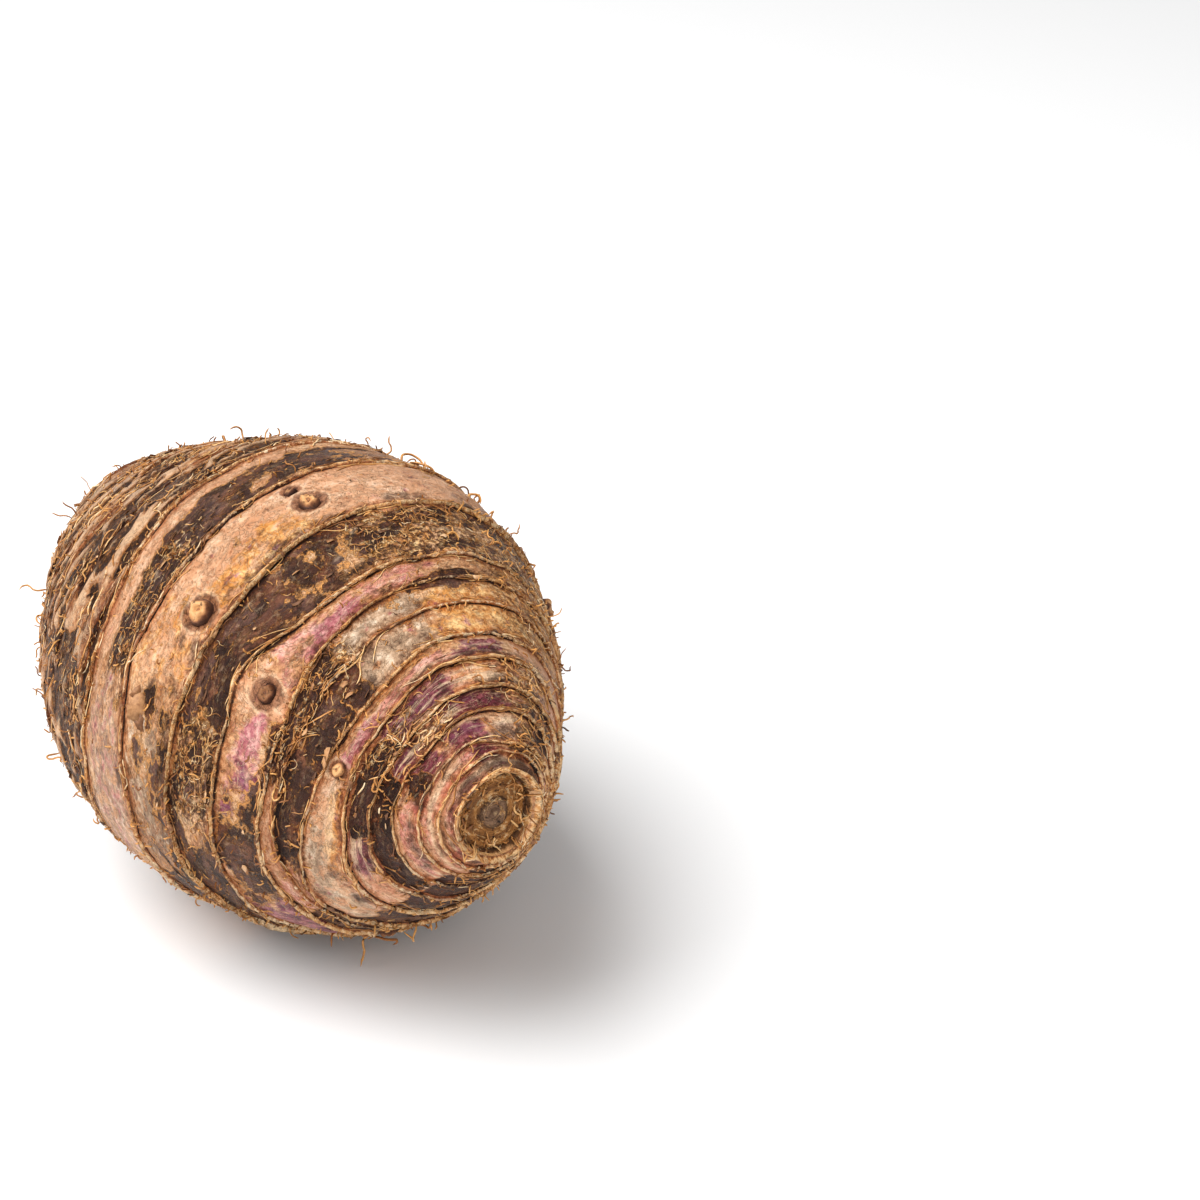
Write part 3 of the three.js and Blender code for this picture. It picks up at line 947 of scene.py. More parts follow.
flake_density = 0.02 + 0.5 * lip_map + 0.3 * maps["crust"] + 0.15 * maps["tangle"] + 0.15 * crown_map
flake_run, flake_bearing = scatter(FLAKES, flake_density - 0.02 * maps["bare"])
flake_length = dice.uniform(0.35, 1.4, FLAKES)
flake_width = dice.uniform(0.18, 0.55, FLAKES)
flake_rise = dice.uniform(0.02, 0.3, FLAKES)
for number, (ring, bearing, length, width, rise, _) in enumerate(BIG_FLAKES):
    flake_run[number], flake_bearing[number] = np.interp(ring, row_ring, skin_row_runs), bearing
    flake_length[number], flake_width[number], flake_rise[number] = length, width, rise
print("mean length of a flake, mm:", round(2 * float(flake_length.mean()), 1))

# %% The flakes' outlines and meshes
corner_steps = np.arange(FLAKE_CORNERS) + dice.uniform(-0.3, 0.3, (FLAKES, FLAKE_CORNERS))
corner_angle = 2 * np.pi * corner_steps / FLAKE_CORNERS
reach = dice.uniform(0.45, 1.25, (FLAKES, FLAKE_CORNERS))
centre = np.zeros((FLAKES, 1))
across = np.concatenate([centre, flake_width[:, None] * reach * np.sin(corner_angle)], axis=1)
along_ring = np.concatenate([centre, flake_length[:, None] * reach * np.cos(corner_angle)], axis=1)
flake_runs = flake_run[:, None] + across + dice.normal(0, 0.16, (FLAKES, 1)) * along_ring
flake_radius = np.interp(flake_run, row_runs, row_radius)[:, None]
flake_bearings = flake_bearing[:, None] + np.degrees(along_ring / flake_radius)
raised = np.clip(across / flake_width[:, None] + 0.6, 0, 2) ** 1.5 * flake_rise[:, None]
flake_top = on_skin(flake_runs, flake_bearings, FLAKE_LIFT + raised + FLAKE_THICKNESS)
flake_under = on_skin(flake_runs, flake_bearings, FLAKE_LIFT + raised)
flake_points = np.concatenate([flake_top, flake_under], axis=1)
flake_points[..., 2] = np.maximum(flake_points[..., 2], LOWEST)
under = FLAKE_CORNERS + 1
flake_faces = []
for i in range(1, FLAKE_CORNERS + 1):
    j = i % FLAKE_CORNERS + 1
    flake_faces += [(0, i, j), (under, under + j, under + i)]
    flake_faces += [(i, under + i, under + j), (i, under + j, j)]
every_flake = repeat_faces(flake_faces, 2 * under, FLAKES)
flake_tint = dice.beta(1.6, 2.6, FLAKES)
flake_tint[:len(BIG_FLAKES)] = [flake[-1] for flake in BIG_FLAKES]
flake_tints = np.repeat(flake_tint, 2 * under)
flakes = make_piece("papery_flakes", flake_points, every_flake.tolist(), {"tint": flake_tints})
print("flakes:", FLAKES, "triangles:", len(every_flake))

# %% [markdown]
# Eye buds
#
# An eye bud is a small blunt dome with a groove round it, the start of a side shoot. The skin
# already has its collar and its dark halo, so the bud itself is a turned dome set into them.

# %% Eye buds
BUD_COLUMNS = 36
BUD_ROWS = 24
BUD_LIFT = 0.15
BUD_PROFILE = {
    # part of the bud's radius: part of its height
    0: 0.86, 0.12: 0.9, 0.2: 0.84, 0.32: 0.97, 0.5: 1.0, 0.68: 0.93, 0.84: 0.66, 0.94: 0.3,
    1.0: 0.0, 1.1: -0.8,
}

bud_points = []
bud_faces = []
bud_parts = []
bud_darkness = []
bud_angle = 2 * np.pi * np.arange(BUD_COLUMNS) / BUD_COLUMNS
bud_size = BUD_ROWS * BUD_COLUMNS + 2
for number, (run, bearing, radius, height, _, darkness) in enumerate(BUDS):
    spot = np.array(run_along_rows(run, bearing)), np.array(float(bearing))
    foot = on_skin(*spot, np.array(BUD_LIFT))
    normal = blend_grid(normals, *spot)
    along_root = np.cross(normal, np.cross([1, 0, 0], normal))
    along_root /= np.linalg.norm(along_root)
    sideways = np.cross(normal, along_root)
    parts = np.linspace(0.02, 1.1, BUD_ROWS)[:, None]
    uneven = 1 + 0.1 * np.cos(2 * bud_angle + number) + 0.05 * np.sin(3 * bud_angle - number)
    out = radius * parts * uneven
    tall = height * np.interp(parts, list(BUD_PROFILE), list(BUD_PROFILE.values()))
    flat_spot = np.stack([out * np.cos(bud_angle), out * np.sin(bud_angle), tall + 0 * out], axis=-1)
    tall = tall + 0.9 * noise_at(flat_spot, 1.2, 60 + number) * (parts < 1)
    points = foot + flat_spot[..., :1] * along_root + flat_spot[..., 1:2] * sideways
    points = points + tall[..., None] * normal
    start = number * bud_size
    grid = start + np.flip(wrapped_faces(BUD_ROWS, BUD_COLUMNS), axis=1)
    tip, sole = start + bud_size - 2, start + bud_size - 1
    last_row = start + (BUD_ROWS - 1) * BUD_COLUMNS
    for c in range(BUD_COLUMNS):
        following = (c + 1) % BUD_COLUMNS
        bud_faces += [(tip, start + c, start + following), (sole, last_row + following, last_row + c)]
    bud_faces += grid.tolist()
    bud_points += [points.reshape(-1, 3), points[:1].mean(axis=1), points[-1:].mean(axis=1)]
    bud_parts += [np.repeat(parts[:, 0], BUD_COLUMNS), [0.0, 1.1]]
    bud_darkness.append(np.full(bud_size, darkness))
bud_maps = {"part": np.concatenate(bud_parts), "darkness": np.concatenate(bud_darkness)}
buds = make_piece("eye_buds", np.concatenate(bud_points), bud_faces, bud_maps)
print("eye buds:", len(BUDS))

# %% [markdown]
# Nodes in short
#
# A material is a tree of nodes, and written out one call at a time it soon hides what it does.
# A few small helpers keep each line to one idea: put a node, do some arithmetic, ease a value,
# pick a colour from a ramp, or lay one colour over another. Shades are given as red, green and
# blue from 0 to 255, and the helpers turn them into what a shader takes.

# %% Helpers for nodes and sums
def colour(shade):
    """A shade as seen on screen, 0 to 255, turned into the linear colour that shaders take."""
    shown = np.array(shade) / 255
    linear = np.where(shown <= 0.04045, shown / 12.92, ((shown + 0.055) / 1.055) ** 2.4)
    return (*linear.tolist(), 1.0)


def put(tree, kind, inputs=None, **settings):
    """Adds a shader node, sets it up, links or fills its inputs, and gives back its outputs."""
    made = tree.nodes.new("ShaderNode" + kind)
    for label, value in settings.items():
        setattr(made, label, value)
    for key, value in (inputs or {}).items():
        if isinstance(value, bpy.types.NodeSocket):
            tree.links.new(value, made.inputs[key])
        else:
            made.inputs[key].default_value = value
    return made.outputs


def maths(tree, operation, first, second=0.0):
    """One sum on two values."""
    return put(tree, "Math", {0: first, 1: second}, operation=operation)[0]


def times(tree, *values):
    """Several values multiplied."""
    product = values[0]
    for value in values[1:]:
        product = maths(tree, "MULTIPLY", product, value)
    return product


def weigh(tree, *terms):
    """The sum of (value, weight) pairs."""
    total = times(tree, *terms[0])
    for value, weight in terms[1:]:
        total = put(tree, "Math", {0: value, 1: weight, 2: total}, operation="MULTIPLY_ADD")[0]
    return total


def ease(tree, value, low, high):
    """Eases from 0 to 1 as the value goes from low to high."""
    limits = {"Value": value, "From Min": low, "From Max": high}
    return put(tree, "MapRange", limits, interpolation_type="SMOOTHSTEP")[0]


def between(tree, first, second, part):
    """A value that goes from the first to the second as part goes from 0 to 1."""
    return put(tree, "Mix", {0: part, 2: first, 3: second})[0]

# %% Helpers for maps, shades and noise
def read(tree, label, output="Fac"):
    """A named map from the mesh."""
    return put(tree, "Attribute", attribute_name=label)[output]


def ramp(tree, value, stops):
    """Picks a colour from a ramp, whose stops are given as position: shade."""
    made = tree.nodes.new("ShaderNodeValToRGB")
    elements = made.color_ramp.elements
    elements.remove(elements[1])
    for number, (position, shade) in enumerate(stops.items()):
        element = elements[0] if number == 0 else elements.new(position)
        element.position = position
        element.color = colour(shade)
    tree.links.new(value, made.inputs["Fac"])
    return made.outputs["Color"]


def over(tree, below, above, *cover, blend="MIX"):
    """Lays a colour or a shade over another colour, as far as the covers, multiplied, say."""
    if not isinstance(above, bpy.types.NodeSocket):
        above = colour(above)
    inputs = {0: times(tree, *cover), 6: below, 7: above}
    return put(tree, "Mix", inputs, data_type="RGBA", blend_type=blend)[2]


def stretch(tree, where, amounts):
    """A place scaled along each axis."""
    return put(tree, "VectorMath", {0: where, 1: amounts}, operation="MULTIPLY")[0]


def fractal(tree, where, size, detail=4.0, roughness=0.6, distortion=0.0):
    """Layered noise from 0 to 1 whose largest lumps are about size across."""
    inputs = {
        "Vector": where,
        "Scale": 1 / size,
        "Detail": detail,
        "Roughness": roughness,
        "Distortion": distortion,
    }
    return put(tree, "TexNoise", inputs, noise_dimensions="3D")[0]

# %% New groups and materials
def new_group(label, inputs, outputs):
    """An empty shader node group with named float or vector inputs and float outputs."""
    tree = bpy.data.node_groups.new(label, "ShaderNodeTree")
    for name, default in inputs.items():
        kind = "NodeSocketVector" if default is None else "NodeSocketFloat"
        socket = tree.interface.new_socket(name, in_out="INPUT", socket_type=kind)
        if default is not None:
            socket.default_value = default
    for name in outputs:
        tree.interface.new_socket(name, in_out="OUTPUT", socket_type="NodeSocketFloat")
    return tree, tree.nodes.new("NodeGroupInput").outputs, tree.nodes.new("NodeGroupOutput").inputs


def new_material(label):
    """A material with one Principled shader, its tree and the shader's inputs."""
    material = bpy.data.materials.new(label)
    material.use_nodes = True
    tree = material.node_tree
    return material, tree, tree.nodes["Principled BSDF"].inputs


def dress(tree, shader, shade, roughness, gloss, height, strength, depth):
    """Gives a shader its colour, its roughness, one even specular level and a bump."""
    tree.links.new(shade, shader["Base Color"])
    tree.links.new(roughness, shader["Roughness"])
    shader["Specular IOR Level"].default_value = gloss
    bump = put(tree, "Bump", {"Height": height, "Strength": strength, "Distance": depth})
    tree.links.new(bump["Normal"], shader["Normal"])

# %% [markdown]
# Torn edges and nets
#
# Two effects come up again and again in the skin. A torn edge takes a soft map and breaks its
# border into a ragged one with fine noise, and also gives the thin rim along it. A net draws
# strands of uneven width between the cells of a Voronoi pattern, which is how both the cracked
# crust and the matted fibres look, each at its own size. Both are node groups, so each use sets
# its own numbers.

# %% The torn edge group
torn_edge, entry, leave = new_group(
    "Torn edge",
    {"Cover": 0.5, "Noise": 0.5, "Tear": 1.0, "Sharpness": 0.06},
    ["Mask", "Rim"],
)
tear = maths(torn_edge, "MULTIPLY", maths(torn_edge, "SUBTRACT", entry["Noise"], 0.5), entry["Tear"])
torn = maths(torn_edge, "ADD", entry["Cover"], maths(torn_edge, "MULTIPLY", tear, 2.0))
low_edge = maths(torn_edge, "SUBTRACT", 0.5, entry["Sharpness"])
high_edge = maths(torn_edge, "ADD", 0.5, entry["Sharpness"])
torn_edge.links.new(ease(torn_edge, torn, low_edge, high_edge), leave["Mask"])
from_edge = maths(torn_edge, "ABSOLUTE", maths(torn_edge, "SUBTRACT", torn, 0.44))
torn_edge.links.new(ease(torn_edge, from_edge, 0.1, 0.02), leave["Rim"])

# %% The net group
net, entry, leave = new_group(
    "Net of strands",
    {"Place": None, "Size": 3.0, "Width": 0.12, "Wave": 0.5},
    ["Mask", "Cell"],
)
frequency = maths(net, "DIVIDE", 1.0, entry["Size"])
wave_inputs = {"Vector": entry["Place"], "Scale": frequency, "Detail": 4.0, "Roughness": 0.6}
wave = put(net, "TexNoise", wave_inputs)["Color"]
wave = put(net, "VectorMath", {0: wave, 1: (0.5, 0.5, 0.5)}, operation="SUBTRACT")[0]
wave_reach = maths(net, "MULTIPLY", entry["Size"], entry["Wave"])
wave = put(net, "VectorMath", {0: wave, "Scale": wave_reach}, operation="SCALE")[0]
waved = put(net, "VectorMath", {0: entry["Place"], 1: wave}, operation="ADD")[0]
cells = {"Vector": waved, "Scale": frequency}
from_edge = put(net, "TexVoronoi", cells, feature="DISTANCE_TO_EDGE")["Distance"]
cell_colour = put(net, "TexVoronoi", cells, feature="F1")["Color"]
net.links.new(put(net, "SeparateColor", {"Color": cell_colour})["Red"], leave["Cell"])
thin_inputs = {"Vector": entry["Place"], "Scale": frequency, "Detail": 2.0, "Roughness": 0.5}
thickness = ease(net, put(net, "TexNoise", thin_inputs)[0], 0.36, 0.62)
width_here = maths(net, "MULTIPLY", entry["Width"], maths(net, "ADD", thickness, 0.12))
strand = ease(net, from_edge, width_here, maths(net, "MULTIPLY", width_here, 0.4))
net.links.new(strand, leave["Mask"])
print("node groups:", [group.name for group in (torn_edge, net)])

# %% [markdown]
# The skin's finish
#
# The finish is laid down in the order it grew: first the streaked tan skin, then the patches on it,
# then the crust that flaked away, then fibres matted into the crust, and last the pale lips, with
# painted shade in the grooves under them. Every patch takes its own three shades from fine noise,
# because no patch of the real skin is one colour.

# %% Colours of the skin
TAN = {
    # place in the tone: shade
    0.34: (84, 50, 32), 0.42: (144, 96, 60), 0.49: (188, 132, 90), 0.56: (218, 166, 120),
    0.66: (242, 204, 164),
}
FINISHES = {
    # kind: dark, middle, light and stray shade, how far apart the shades are, softness of the edge
    "bare": ((164, 106, 72), (216, 162, 122), (246, 210, 180), (200, 138, 96), 0.17, 0.16),
    "paper": ((112, 82, 60), (190, 154, 122), (240, 214, 186), (144, 112, 86), 0.1, 0.1),
    "ochre": ((136, 80, 38), (212, 144, 78), (250, 204, 140), (210, 136, 58), 0.09, 0.25),
    "bloom": ((148, 82, 68), (216, 146, 126), (250, 206, 186), (192, 114, 104), 0.11, 0.3),
    "rose": ((126, 58, 62), (176, 102, 106), (226, 170, 160), (186, 118, 98), 0.1, 0.25),
    "wine": ((60, 23, 30), (128, 60, 72), (194, 130, 130), (116, 60, 90), 0.09, 0.22),
    "crust": ((34, 16, 11), (76, 43, 31), (128, 80, 54), (104, 54, 26), 0.08, 0.05),
}
STAIN = (208, 160, 114)
WORN = (198, 174, 152)
DEEP = (174, 142, 142)
FLUSH = (255, 232, 234)
RIM = (210, 144, 78)
GOLD = (212, 140, 70)
CRINKLE = (128, 80, 48)
SPECK = (166, 100, 60)
DIRT_AND_SHADE = (50, 28, 19)
PALE_AND_HIGHLIGHT = (244, 210, 172)
CREST = (242, 202, 150)
GROOVE = (36, 19, 12)
SHEEN = (104, 78, 72)
MATTED = {0.4: (184, 118, 58), 0.5: (226, 168, 100), 0.6: (246, 216, 170)}
LIP = {0.4: (172, 104, 46), 0.5: (226, 162, 96), 0.6: (250, 224, 186)}
HALO = {0.4: (92, 52, 34), 0.6: (154, 100, 68)}
OLIVE = {0.4: (50, 30, 18), 0.5: (96, 62, 38), 0.62: (160, 108, 62)}
print("finishes:", list(FINISHES))

# %% The tan skin
skin_material, tree, shader = new_material("malanga_skin")
where = read(tree, "grain_at", "Vector")
drawn_out = stretch(tree, where, (1.0, 0.1, 0.1))
half_drawn = stretch(tree, where, (1.0, 0.45, 0.45))
on_base = read(tree, "near_base")

streaks = fractal(tree, drawn_out, 1.5, detail=4.0, roughness=0.66)
patchy = fractal(tree, half_drawn, 8.0, detail=3.0)
little_drawn = stretch(tree, where, (1.0, 0.7, 0.7))
fine = fractal(tree, little_drawn, 0.8, detail=4.0, roughness=0.72)
tearing = fractal(tree, little_drawn, 2.6, detail=5.0, roughness=0.62)
smooth_tone = weigh(tree, (patchy, 0.45), (fine, 0.5), (streaks, 0.05))
base_tone = weigh(tree, (patchy, 0.5), (fine, 0.42), (streaks, 0.12))
shade = ramp(tree, between(tree, smooth_tone, base_tone, on_base), TAN)
print("skin material nodes so far:", len(tree.nodes))

# %% Patches on the skin
grain_tone = fractal(tree, little_drawn, 2.2, detail=3.0, roughness=0.65)
tone = weigh(tree, (grain_tone, 0.42), (fine, 0.28), (patchy, 0.26), (streaks, 0.04))
stray_cover = ease(tree, fractal(tree, half_drawn, 4.5, detail=3.0), 0.5, 0.62)
crust_cells = {"Place": little_drawn, "Size": 4.2, "Width": 0.1, "Wave": 0.9}
crust_net = put(tree, "Group", crust_cells, node_tree=net)
broad_tearing = fractal(tree, little_drawn, 5.0, detail=6.0, roughness=0.64)
tear_here = between(tree, 1.25, 0.5, on_base)
torn_by = between(tree, tearing, streaks, times(tree, on_base, 0.4))
crust_torn_by = between(tree, broad_tearing, streaks, times(tree, on_base, 0.4))
torn_patches = {}
for kind, (dark, middle, light, stray, reach, softness) in FINISHES.items():
    inputs = {
        "Cover": read(tree, kind),
        "Noise": crust_torn_by if kind == "crust" else torn_by,
        "Tear": tear_here,
        "Sharpness": softness,
    }
    torn_patches[kind] = put(tree, "Group", inputs, node_tree=torn_edge)
    patch_shade = ramp(tree, tone, {0.5 - reach: dark, 0.5: middle, 0.5 + reach: light})
    patch_shade = over(tree, patch_shade, stray, stray_cover, 0.6)
    if kind == "bare":
        specks = ease(tree, fractal(tree, where, 0.85, detail=1.0), 0.62, 0.67)
        patch_shade = over(tree, patch_shade, SPECK, specks, 0.7)
    if kind == "crust":
        patch_shade = over(tree, patch_shade, SHEEN, ease(tree, crust_net["Cell"], 0.55, 0.85), 0.4)
        patch_shade = over(tree, patch_shade, dark, ease(tree, crust_net["Cell"], 0.4, 0.15), 0.7)
        patch_shade = over(tree, patch_shade, ramp(tree, fine, OLIVE), on_base, 0.85)
        gold = times(tree, crust_net["Mask"], ease(tree, fine, 0.48, 0.6))
        patch_shade = over(tree, patch_shade, GOLD, gold, 0.6)
    shade = over(tree, shade, patch_shade, torn_patches[kind]["Mask"])
crust_mask, crust_rim = torn_patches["crust"]["Mask"], torn_patches["crust"]["Rim"]
shade = over(tree, shade, RIM, crust_rim, 0.9)
shade = over(tree, shade, WORN, on_base, 0.7, blend="MULTIPLY")
on_crown = read(tree, "near_crown")
dark_skin = maths(tree, "MAXIMUM", crust_mask, times(tree, torn_patches["wine"]["Mask"], 0.5))
shade = over(tree, shade, DEEP, on_crown, dark_skin, 0.85, blend="MULTIPLY")
print("skin material nodes so far:", len(tree.nodes))

# %% [markdown]
# What lies over the finishes
#
# Old skin is crinkled all over: dark crease lines, each with a painted highlight beside it, so that the
# crinkles look embossed. Pale streaks run along the rings near the crown, partly pale skin and partly a
# painted highlight. Fibres lie matted into the crust over a dark ground. Painted shade darkens the
# hollows, and a painted highlight lightens the high edges. Each of these is a thin layer over the
# finished patches. The same masks then feed the bump, so that what looks raised is also lit as if it
# were.

# %% Crinkles, matted fibres, painted shade and painted highlights on the skin
def line_at(level, half_width):
    """A thin line where the curling noise is at a level."""
    from_level = maths(tree, "ABSOLUTE", maths(tree, "SUBTRACT", curl, level))
    return ease(tree, from_level, half_width, 0.004)


curl = fractal(tree, little_drawn, 1.7, detail=2.5, roughness=0.6, distortion=1.0)
# Dark crease lines. Just beside each one runs a painted highlight, so that the crinkles look embossed
# and the crease reads partly as its shaded side.
curl_line = times(tree, line_at(0.49, 0.024), ease(tree, fine, 0.58, 0.44))
curl_highlight = line_at(0.53, 0.026)
pale_skin = maths(tree, "SUBTRACT", 1.0, crust_mask)
shade = over(tree, shade, FLUSH, ease(tree, on_crown, 0.5, 1.0), pale_skin, 0.6, blend="MULTIPLY")
# Pale streaks near the crown: partly pale skin, partly a painted highlight.
shade = over(tree, shade, PALE_AND_HIGHLIGHT, on_crown, pale_skin, ease(tree, streaks, 0.5, 0.62), 0.75)
shade = over(tree, shade, CRINKLE, curl_line, weigh(tree, (pale_skin, 0.06), (1.0, 0.1)))
# The painted highlight beside each crease.
shade = over(tree, shade, PALE_AND_HIGHLIGHT, curl_highlight, weigh(tree, (pale_skin, 0.2), (1.0, 0.1)))

tangle = read(tree, "tangle")
shade = over(tree, shade, DIRT_AND_SHADE, tangle, ease(tree, fine, 0.6, 0.44), 0.8)
matted_cells = {"Place": half_drawn, "Size": 1.9, "Width": 0.09, "Wave": 1.6}
matted = put(tree, "Group", matted_cells, node_tree=net)["Mask"]
matted_here = times(tree, matted, maths(tree, "MAXIMUM", tangle, times(tree, crust_mask, 0.14)))
shade = over(tree, shade, ramp(tree, fine, MATTED), matted_here, 0.9)

gap = weigh(tree, (fine, 3.0), (read(tree, "scar_gap"), 1.0))
shade = over(tree, shade, STAIN, ease(tree, gap, 3.9, 1.6), 0.8, blend="MULTIPLY")
hollow = weigh(tree, (fine, -0.5), (read(tree, "hollow"), 1.0))
# Painted shade: the hollows of the relief are darkened.
shade = over(tree, shade, DIRT_AND_SHADE, ease(tree, hollow, 0.32, 0.66), 0.8)
# Painted highlight: the high edges of the relief are lightened.
shade = over(tree, shade, PALE_AND_HIGHLIGHT, ease(tree, hollow, 0.12, -0.2), 0.4)
height = weigh(
    tree, (streaks, 0.26), (fine, 0.95), (matted_here, 1.2), (curl_highlight, 0.3), (curl_line, -0.15)
)
gold_on_crust = times(tree, gold, crust_mask)
height = weigh(tree, (height, 1.0), (crust_mask, -0.9), (crust_rim, 0.6), (gold_on_crust, 1.0))
height = weigh(tree, (times(tree, crust_net["Cell"], crust_mask), 0.9), (height, 1.0))
print("skin material nodes so far:", len(tree.nodes))

# %% [markdown]
# Lips, grooves, halos and the two ends
#
# The leaf scars are drawn last, over every finish: a straw-coloured lip with a pale crest, and a dark
# line of painted shade under it. Dark halos ring the eye buds. The crown scar has its own rings of
# colour, from the plug in the middle to the rim, and its dark trough ring is partly the trough's own
# colour and partly painted shade under the rim. The base stub is plain torn fibre.

# %% Lips, grooves, halos and the two ends
def torn_layer(below, label, above, most, tear, softness):
    """Lays a shade over the skin where one of its maps says, with a torn edge."""
    inputs = {"Cover": read(tree, label), "Noise": fine, "Tear": tear, "Sharpness": softness}
    mask = put(tree, "Group", inputs, node_tree=torn_edge)["Mask"]
    return over(tree, below, above, mask, most)


# The dark ring from 0.88 to 0.93 is partly the trough's own dark colour and partly painted shade under
# the rim.
CROWN = {
    # part of the rim's radius: shade
    0.0: (216, 178, 130), 0.07: (108, 78, 58), 0.26: (138, 104, 78), 0.36: (84, 56, 34),
    0.46: (166, 110, 56), 0.62: (118, 74, 36), 0.78: (168, 110, 54), 0.88: (74, 46, 25),
    0.93: (104, 68, 38), 0.96: (210, 156, 104),
}
STUB = {0.4: (66, 42, 28), 0.5: (136, 96, 66), 0.6: (192, 150, 112)}

shade = torn_layer(shade, "halo", ramp(tree, fine, HALO), 0.85, 0.7, 0.2)
lip_tone = weigh(tree, (fine, 0.4), (patchy, 0.6))
shade = torn_layer(shade, "lip", ramp(tree, lip_tone, LIP), 0.9, 1.1, 0.15)
crest = times(tree, ease(tree, read(tree, "lip"), 0.45, 0.85), ease(tree, fine, 0.44, 0.54))
shade = over(tree, shade, CREST, crest, 0.7)
# Painted shade: a dark colour laid into the groove under each lip.
shade = torn_layer(shade, "groove", GROOVE, 0.92, 1.0, 0.12)

crown_grain = fractal(tree, where, 1.2, detail=4.0, roughness=0.7)
crown_place = weigh(tree, (crown_grain, 0.12), (read(tree, "crown_part"), 1.0))
crown_shade = ramp(tree, maths(tree, "SUBTRACT", crown_place, 0.06), CROWN)
crown_shade = over(tree, crown_shade, GROOVE, ease(tree, crown_grain, 0.45, 0.34))
crown_shade = over(tree, crown_shade, ramp(tree, crown_grain, MATTED), matted, 0.5)
shade = over(tree, shade, crown_shade, ease(tree, read(tree, "crown_part"), 1.0, 0.97))
shade = over(tree, shade, ramp(tree, crown_grain, STUB), ease(tree, read(tree, "base_part"), 1.0, 0.95))

# %% [markdown]
# Gloss and bump
#
# Dry skin is dull, and the purple skin is a little smoother than the rest. The bump is the finest
# relief, well under a millimetre, which would take too many points to model. All that is larger
# is in the mesh already.

# %% The skin's colour, gloss and bump
grit = fractal(tree, where, 0.35, detail=2.0, roughness=0.6)
purple = maths(tree, "MAXIMUM", torn_patches["wine"]["Mask"], torn_patches["rose"]["Mask"])
roughness = weigh(tree, (fine, 0.4), (grit, 0.2), (patchy, 0.45), (crust_mask, -0.05), (purple, -0.15))
height = weigh(tree, (height, 1.0), (grit, 0.28), (crown_grain, 0.4))
dress(tree, shader, shade, roughness, gloss=0.2, height=height, strength=1.0, depth=0.6 * MM)
skin.data.materials.append(skin_material)
print("skin material nodes:", len(tree.nodes))

# %% [markdown]
# Fibres, hairs, flakes and buds
#
# These are small, so their colour changes from piece to piece more than across one. Each mesh
# carries a tint for every fibre or flake, and the material turns it into a colour.

# %% Materials of the small pieces
FIBRE_TINTS = {
    0.0: (66, 38, 22), 0.3: (138, 84, 40), 0.6: (196, 132, 68), 0.85: (232, 182, 118),
    1.0: (246, 218, 176),
}
HAIR_TINTS = {0.0: (78, 46, 24), 0.4: (160, 98, 44), 0.9: (222, 160, 88)}
FLAKE_TINTS = {0.0: (66, 42, 30), 0.35: (140, 92, 56), 0.65: (198, 146, 98), 0.95: (236, 198, 154)}


def tinted_material(label, stops, roughness, grain_size):
    """A dry material whose colour comes from the mesh's tint, broken up by fine noise."""
    material, tree, shader = new_material(label)
    here = put(tree, "TexCoord")["Object"]
    grain_noise = fractal(tree, here, grain_size * MM, detail=3.0)
    change = times(tree, maths(tree, "SUBTRACT", grain_noise, 0.5), 0.7)
    shade = ramp(tree, maths(tree, "ADD", read(tree, "tint"), change), stops)
    varied = weigh(tree, (grain_noise, 0.2), (1.0, roughness))
    dress(tree, shader, shade, varied, gloss=0.45, height=grain_noise, strength=0.5, depth=0.1 * MM)
    return material


fibre_material = tinted_material("dry_fibre", FIBRE_TINTS, 0.35, 1.2)
hair_material = tinted_material("root_hair", HAIR_TINTS, 0.35, 1.5)
flake_material = tinted_material("papery_flake", FLAKE_TINTS, 0.5, 0.8)
for piece in (lip_fibres, ring_fibres, tangled_fibres, torn_strips, crown_fibres):
    piece.data.materials.append(fibre_material)
root_hairs.data.materials.append(hair_material)
curly_hairs.data.materials.append(hair_material)
flakes.data.materials.append(flake_material)

# %% [markdown]
# The buds' finish
#
# A bud is a pale, scaly dome with a brown foot, so its shade goes by how far a place is from its
# middle. Some buds have dried dark, and a map darkens those.

# %% The bud material
BUD_TINTS = {
    0.0: (186, 132, 84), 0.12: (128, 80, 48), 0.22: (206, 150, 96), 0.5: (222, 172, 118),
    0.72: (190, 134, 84), 0.86: (120, 74, 46), 0.97: (70, 42, 30),
}
DARK_BUD = (118, 74, 56)

bud_material, tree, shader = new_material("eye_bud")
here = put(tree, "TexCoord")["Object"]
bud_grain = fractal(tree, here, 0.9 * MM, detail=4.0)
bud_part = weigh(tree, (bud_grain, 0.35), (read(tree, "part"), 1.0))
bud_shade = ramp(tree, maths(tree, "SUBTRACT", bud_part, 0.17), BUD_TINTS)
bud_shade = over(tree, bud_shade, DARK_BUD, read(tree, "darkness"), blend="MULTIPLY")
bud_shade = over(tree, bud_shade, DIRT_AND_SHADE, ease(tree, bud_grain, 0.46, 0.34), 0.8)
roughness = weigh(tree, (bud_grain, 0.3), (1.0, 0.5))
dress(tree, shader, bud_shade, roughness, gloss=0.3, height=bud_grain, strength=0.8, depth=0.3 * MM)
buds.data.materials.append(bud_material)
print("materials:", [material.name for material in bpy.data.materials])

# %% [markdown]
# Everything rides on the root
#
# The root has no moving parts, so all of the pieces ride on its one body. The skin stands for
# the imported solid, which is plain, and hides it.

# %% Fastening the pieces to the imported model
pieces = (
    skin, lip_fibres, ring_fibres, tangled_fibres, torn_strips, crown_fibres, root_hairs,
    curly_hairs, flakes, buds,
)
for piece in pieces:
    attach(piece, "root")
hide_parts("malanga_root")
print("pieces:", [piece.name for piece in pieces])

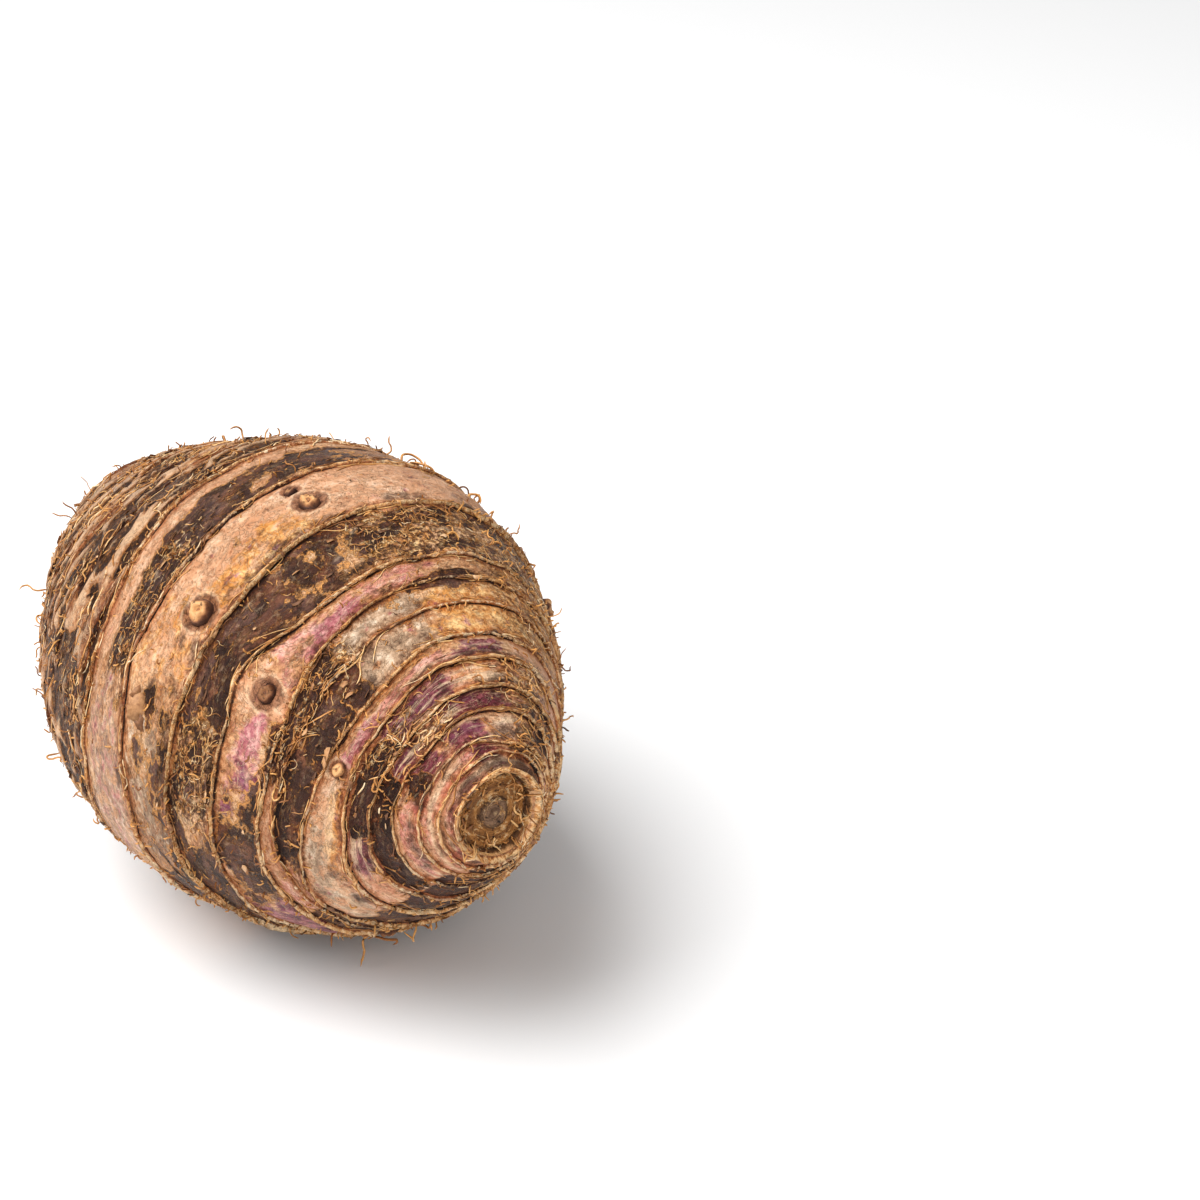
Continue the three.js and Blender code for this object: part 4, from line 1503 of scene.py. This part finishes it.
# %% [markdown]
# Floor, light and camera
#
# The root lies on a plain white surface in a soft studio light: a pale room all round, one large
# panel from the upper left that gives the lips their shadows, and a weak one that lifts the shade
# on the crown end. The camera looks down on the crown end, with a lens long enough to keep the
# egg from bulging.

# %% Floor
FLOOR_SIZE = 8.0
floor_mesh = bpy.data.meshes.new("floor")
half = FLOOR_SIZE / 2
corners = [(-half, -half, 0), (half, -half, 0), (half, half, 0), (-half, half, 0)]
floor_mesh.from_pydata(corners, [], [(0, 1, 2, 3)])
floor = add_object("floor", floor_mesh)
floor_material, tree, shader = new_material("white_floor")
shader["Base Color"].default_value = (0.93, 0.93, 0.93, 1)
shader["Roughness"].default_value = 0.9
shader["Specular IOR Level"].default_value = 0.1
floor_mesh.materials.append(floor_material)

# %% Light
ROOM_STRENGTH = 0.37
LIT_HEIGHT = 0.04
world = bpy.data.worlds.new("pale_room")
bpy.context.scene.world = world
world.use_nodes = True
room = world.node_tree.nodes["Background"].inputs
room["Color"].default_value = (1, 1, 1, 1)
room["Strength"].default_value = ROOM_STRENGTH
bpy.context.scene.view_settings.view_transform = "Standard"


def add_panel(name, where, size, power):
    """A square light panel that faces the root."""
    light = bpy.data.lights.new(name, "AREA")
    light.shape = "SQUARE"
    light.size = size
    light.energy = power
    panel = add_object(name, light)
    panel.location = where
    toward_root = Vector((0, 0, LIT_HEIGHT)) - Vector(where)
    panel.rotation_euler = toward_root.to_track_quat("-Z", "Y").to_euler()


add_panel("key_light", (-0.12, -0.56, 1.15), 1.1, 24.0)
add_panel("fill_light", (0.94, -0.2, 0.45), 0.8, 2.8)
print("lights:", [light.name for light in bpy.data.lights])

# %% Camera
HEADING = np.radians(56.4)
LOOK_DOWN = np.radians(29.2)
DISTANCE = 0.561
AIM = Vector((0.0259, 0.0550, 0.0589))
LENS = 85
SENSOR = 36

toward_camera = Vector((
    np.sin(HEADING) * np.cos(LOOK_DOWN),
    -np.cos(HEADING) * np.cos(LOOK_DOWN),
    np.sin(LOOK_DOWN),
))
lens = bpy.data.cameras.new("camera")
lens.lens = LENS
lens.sensor_width = SENSOR
camera = add_object("camera", lens)
camera.location = AIM + DISTANCE * toward_camera
camera.rotation_euler = toward_camera.to_track_quat("Z", "Y").to_euler()
bpy.context.scene.camera = camera
print("camera, mm:", [round(value / MM) for value in camera.location])
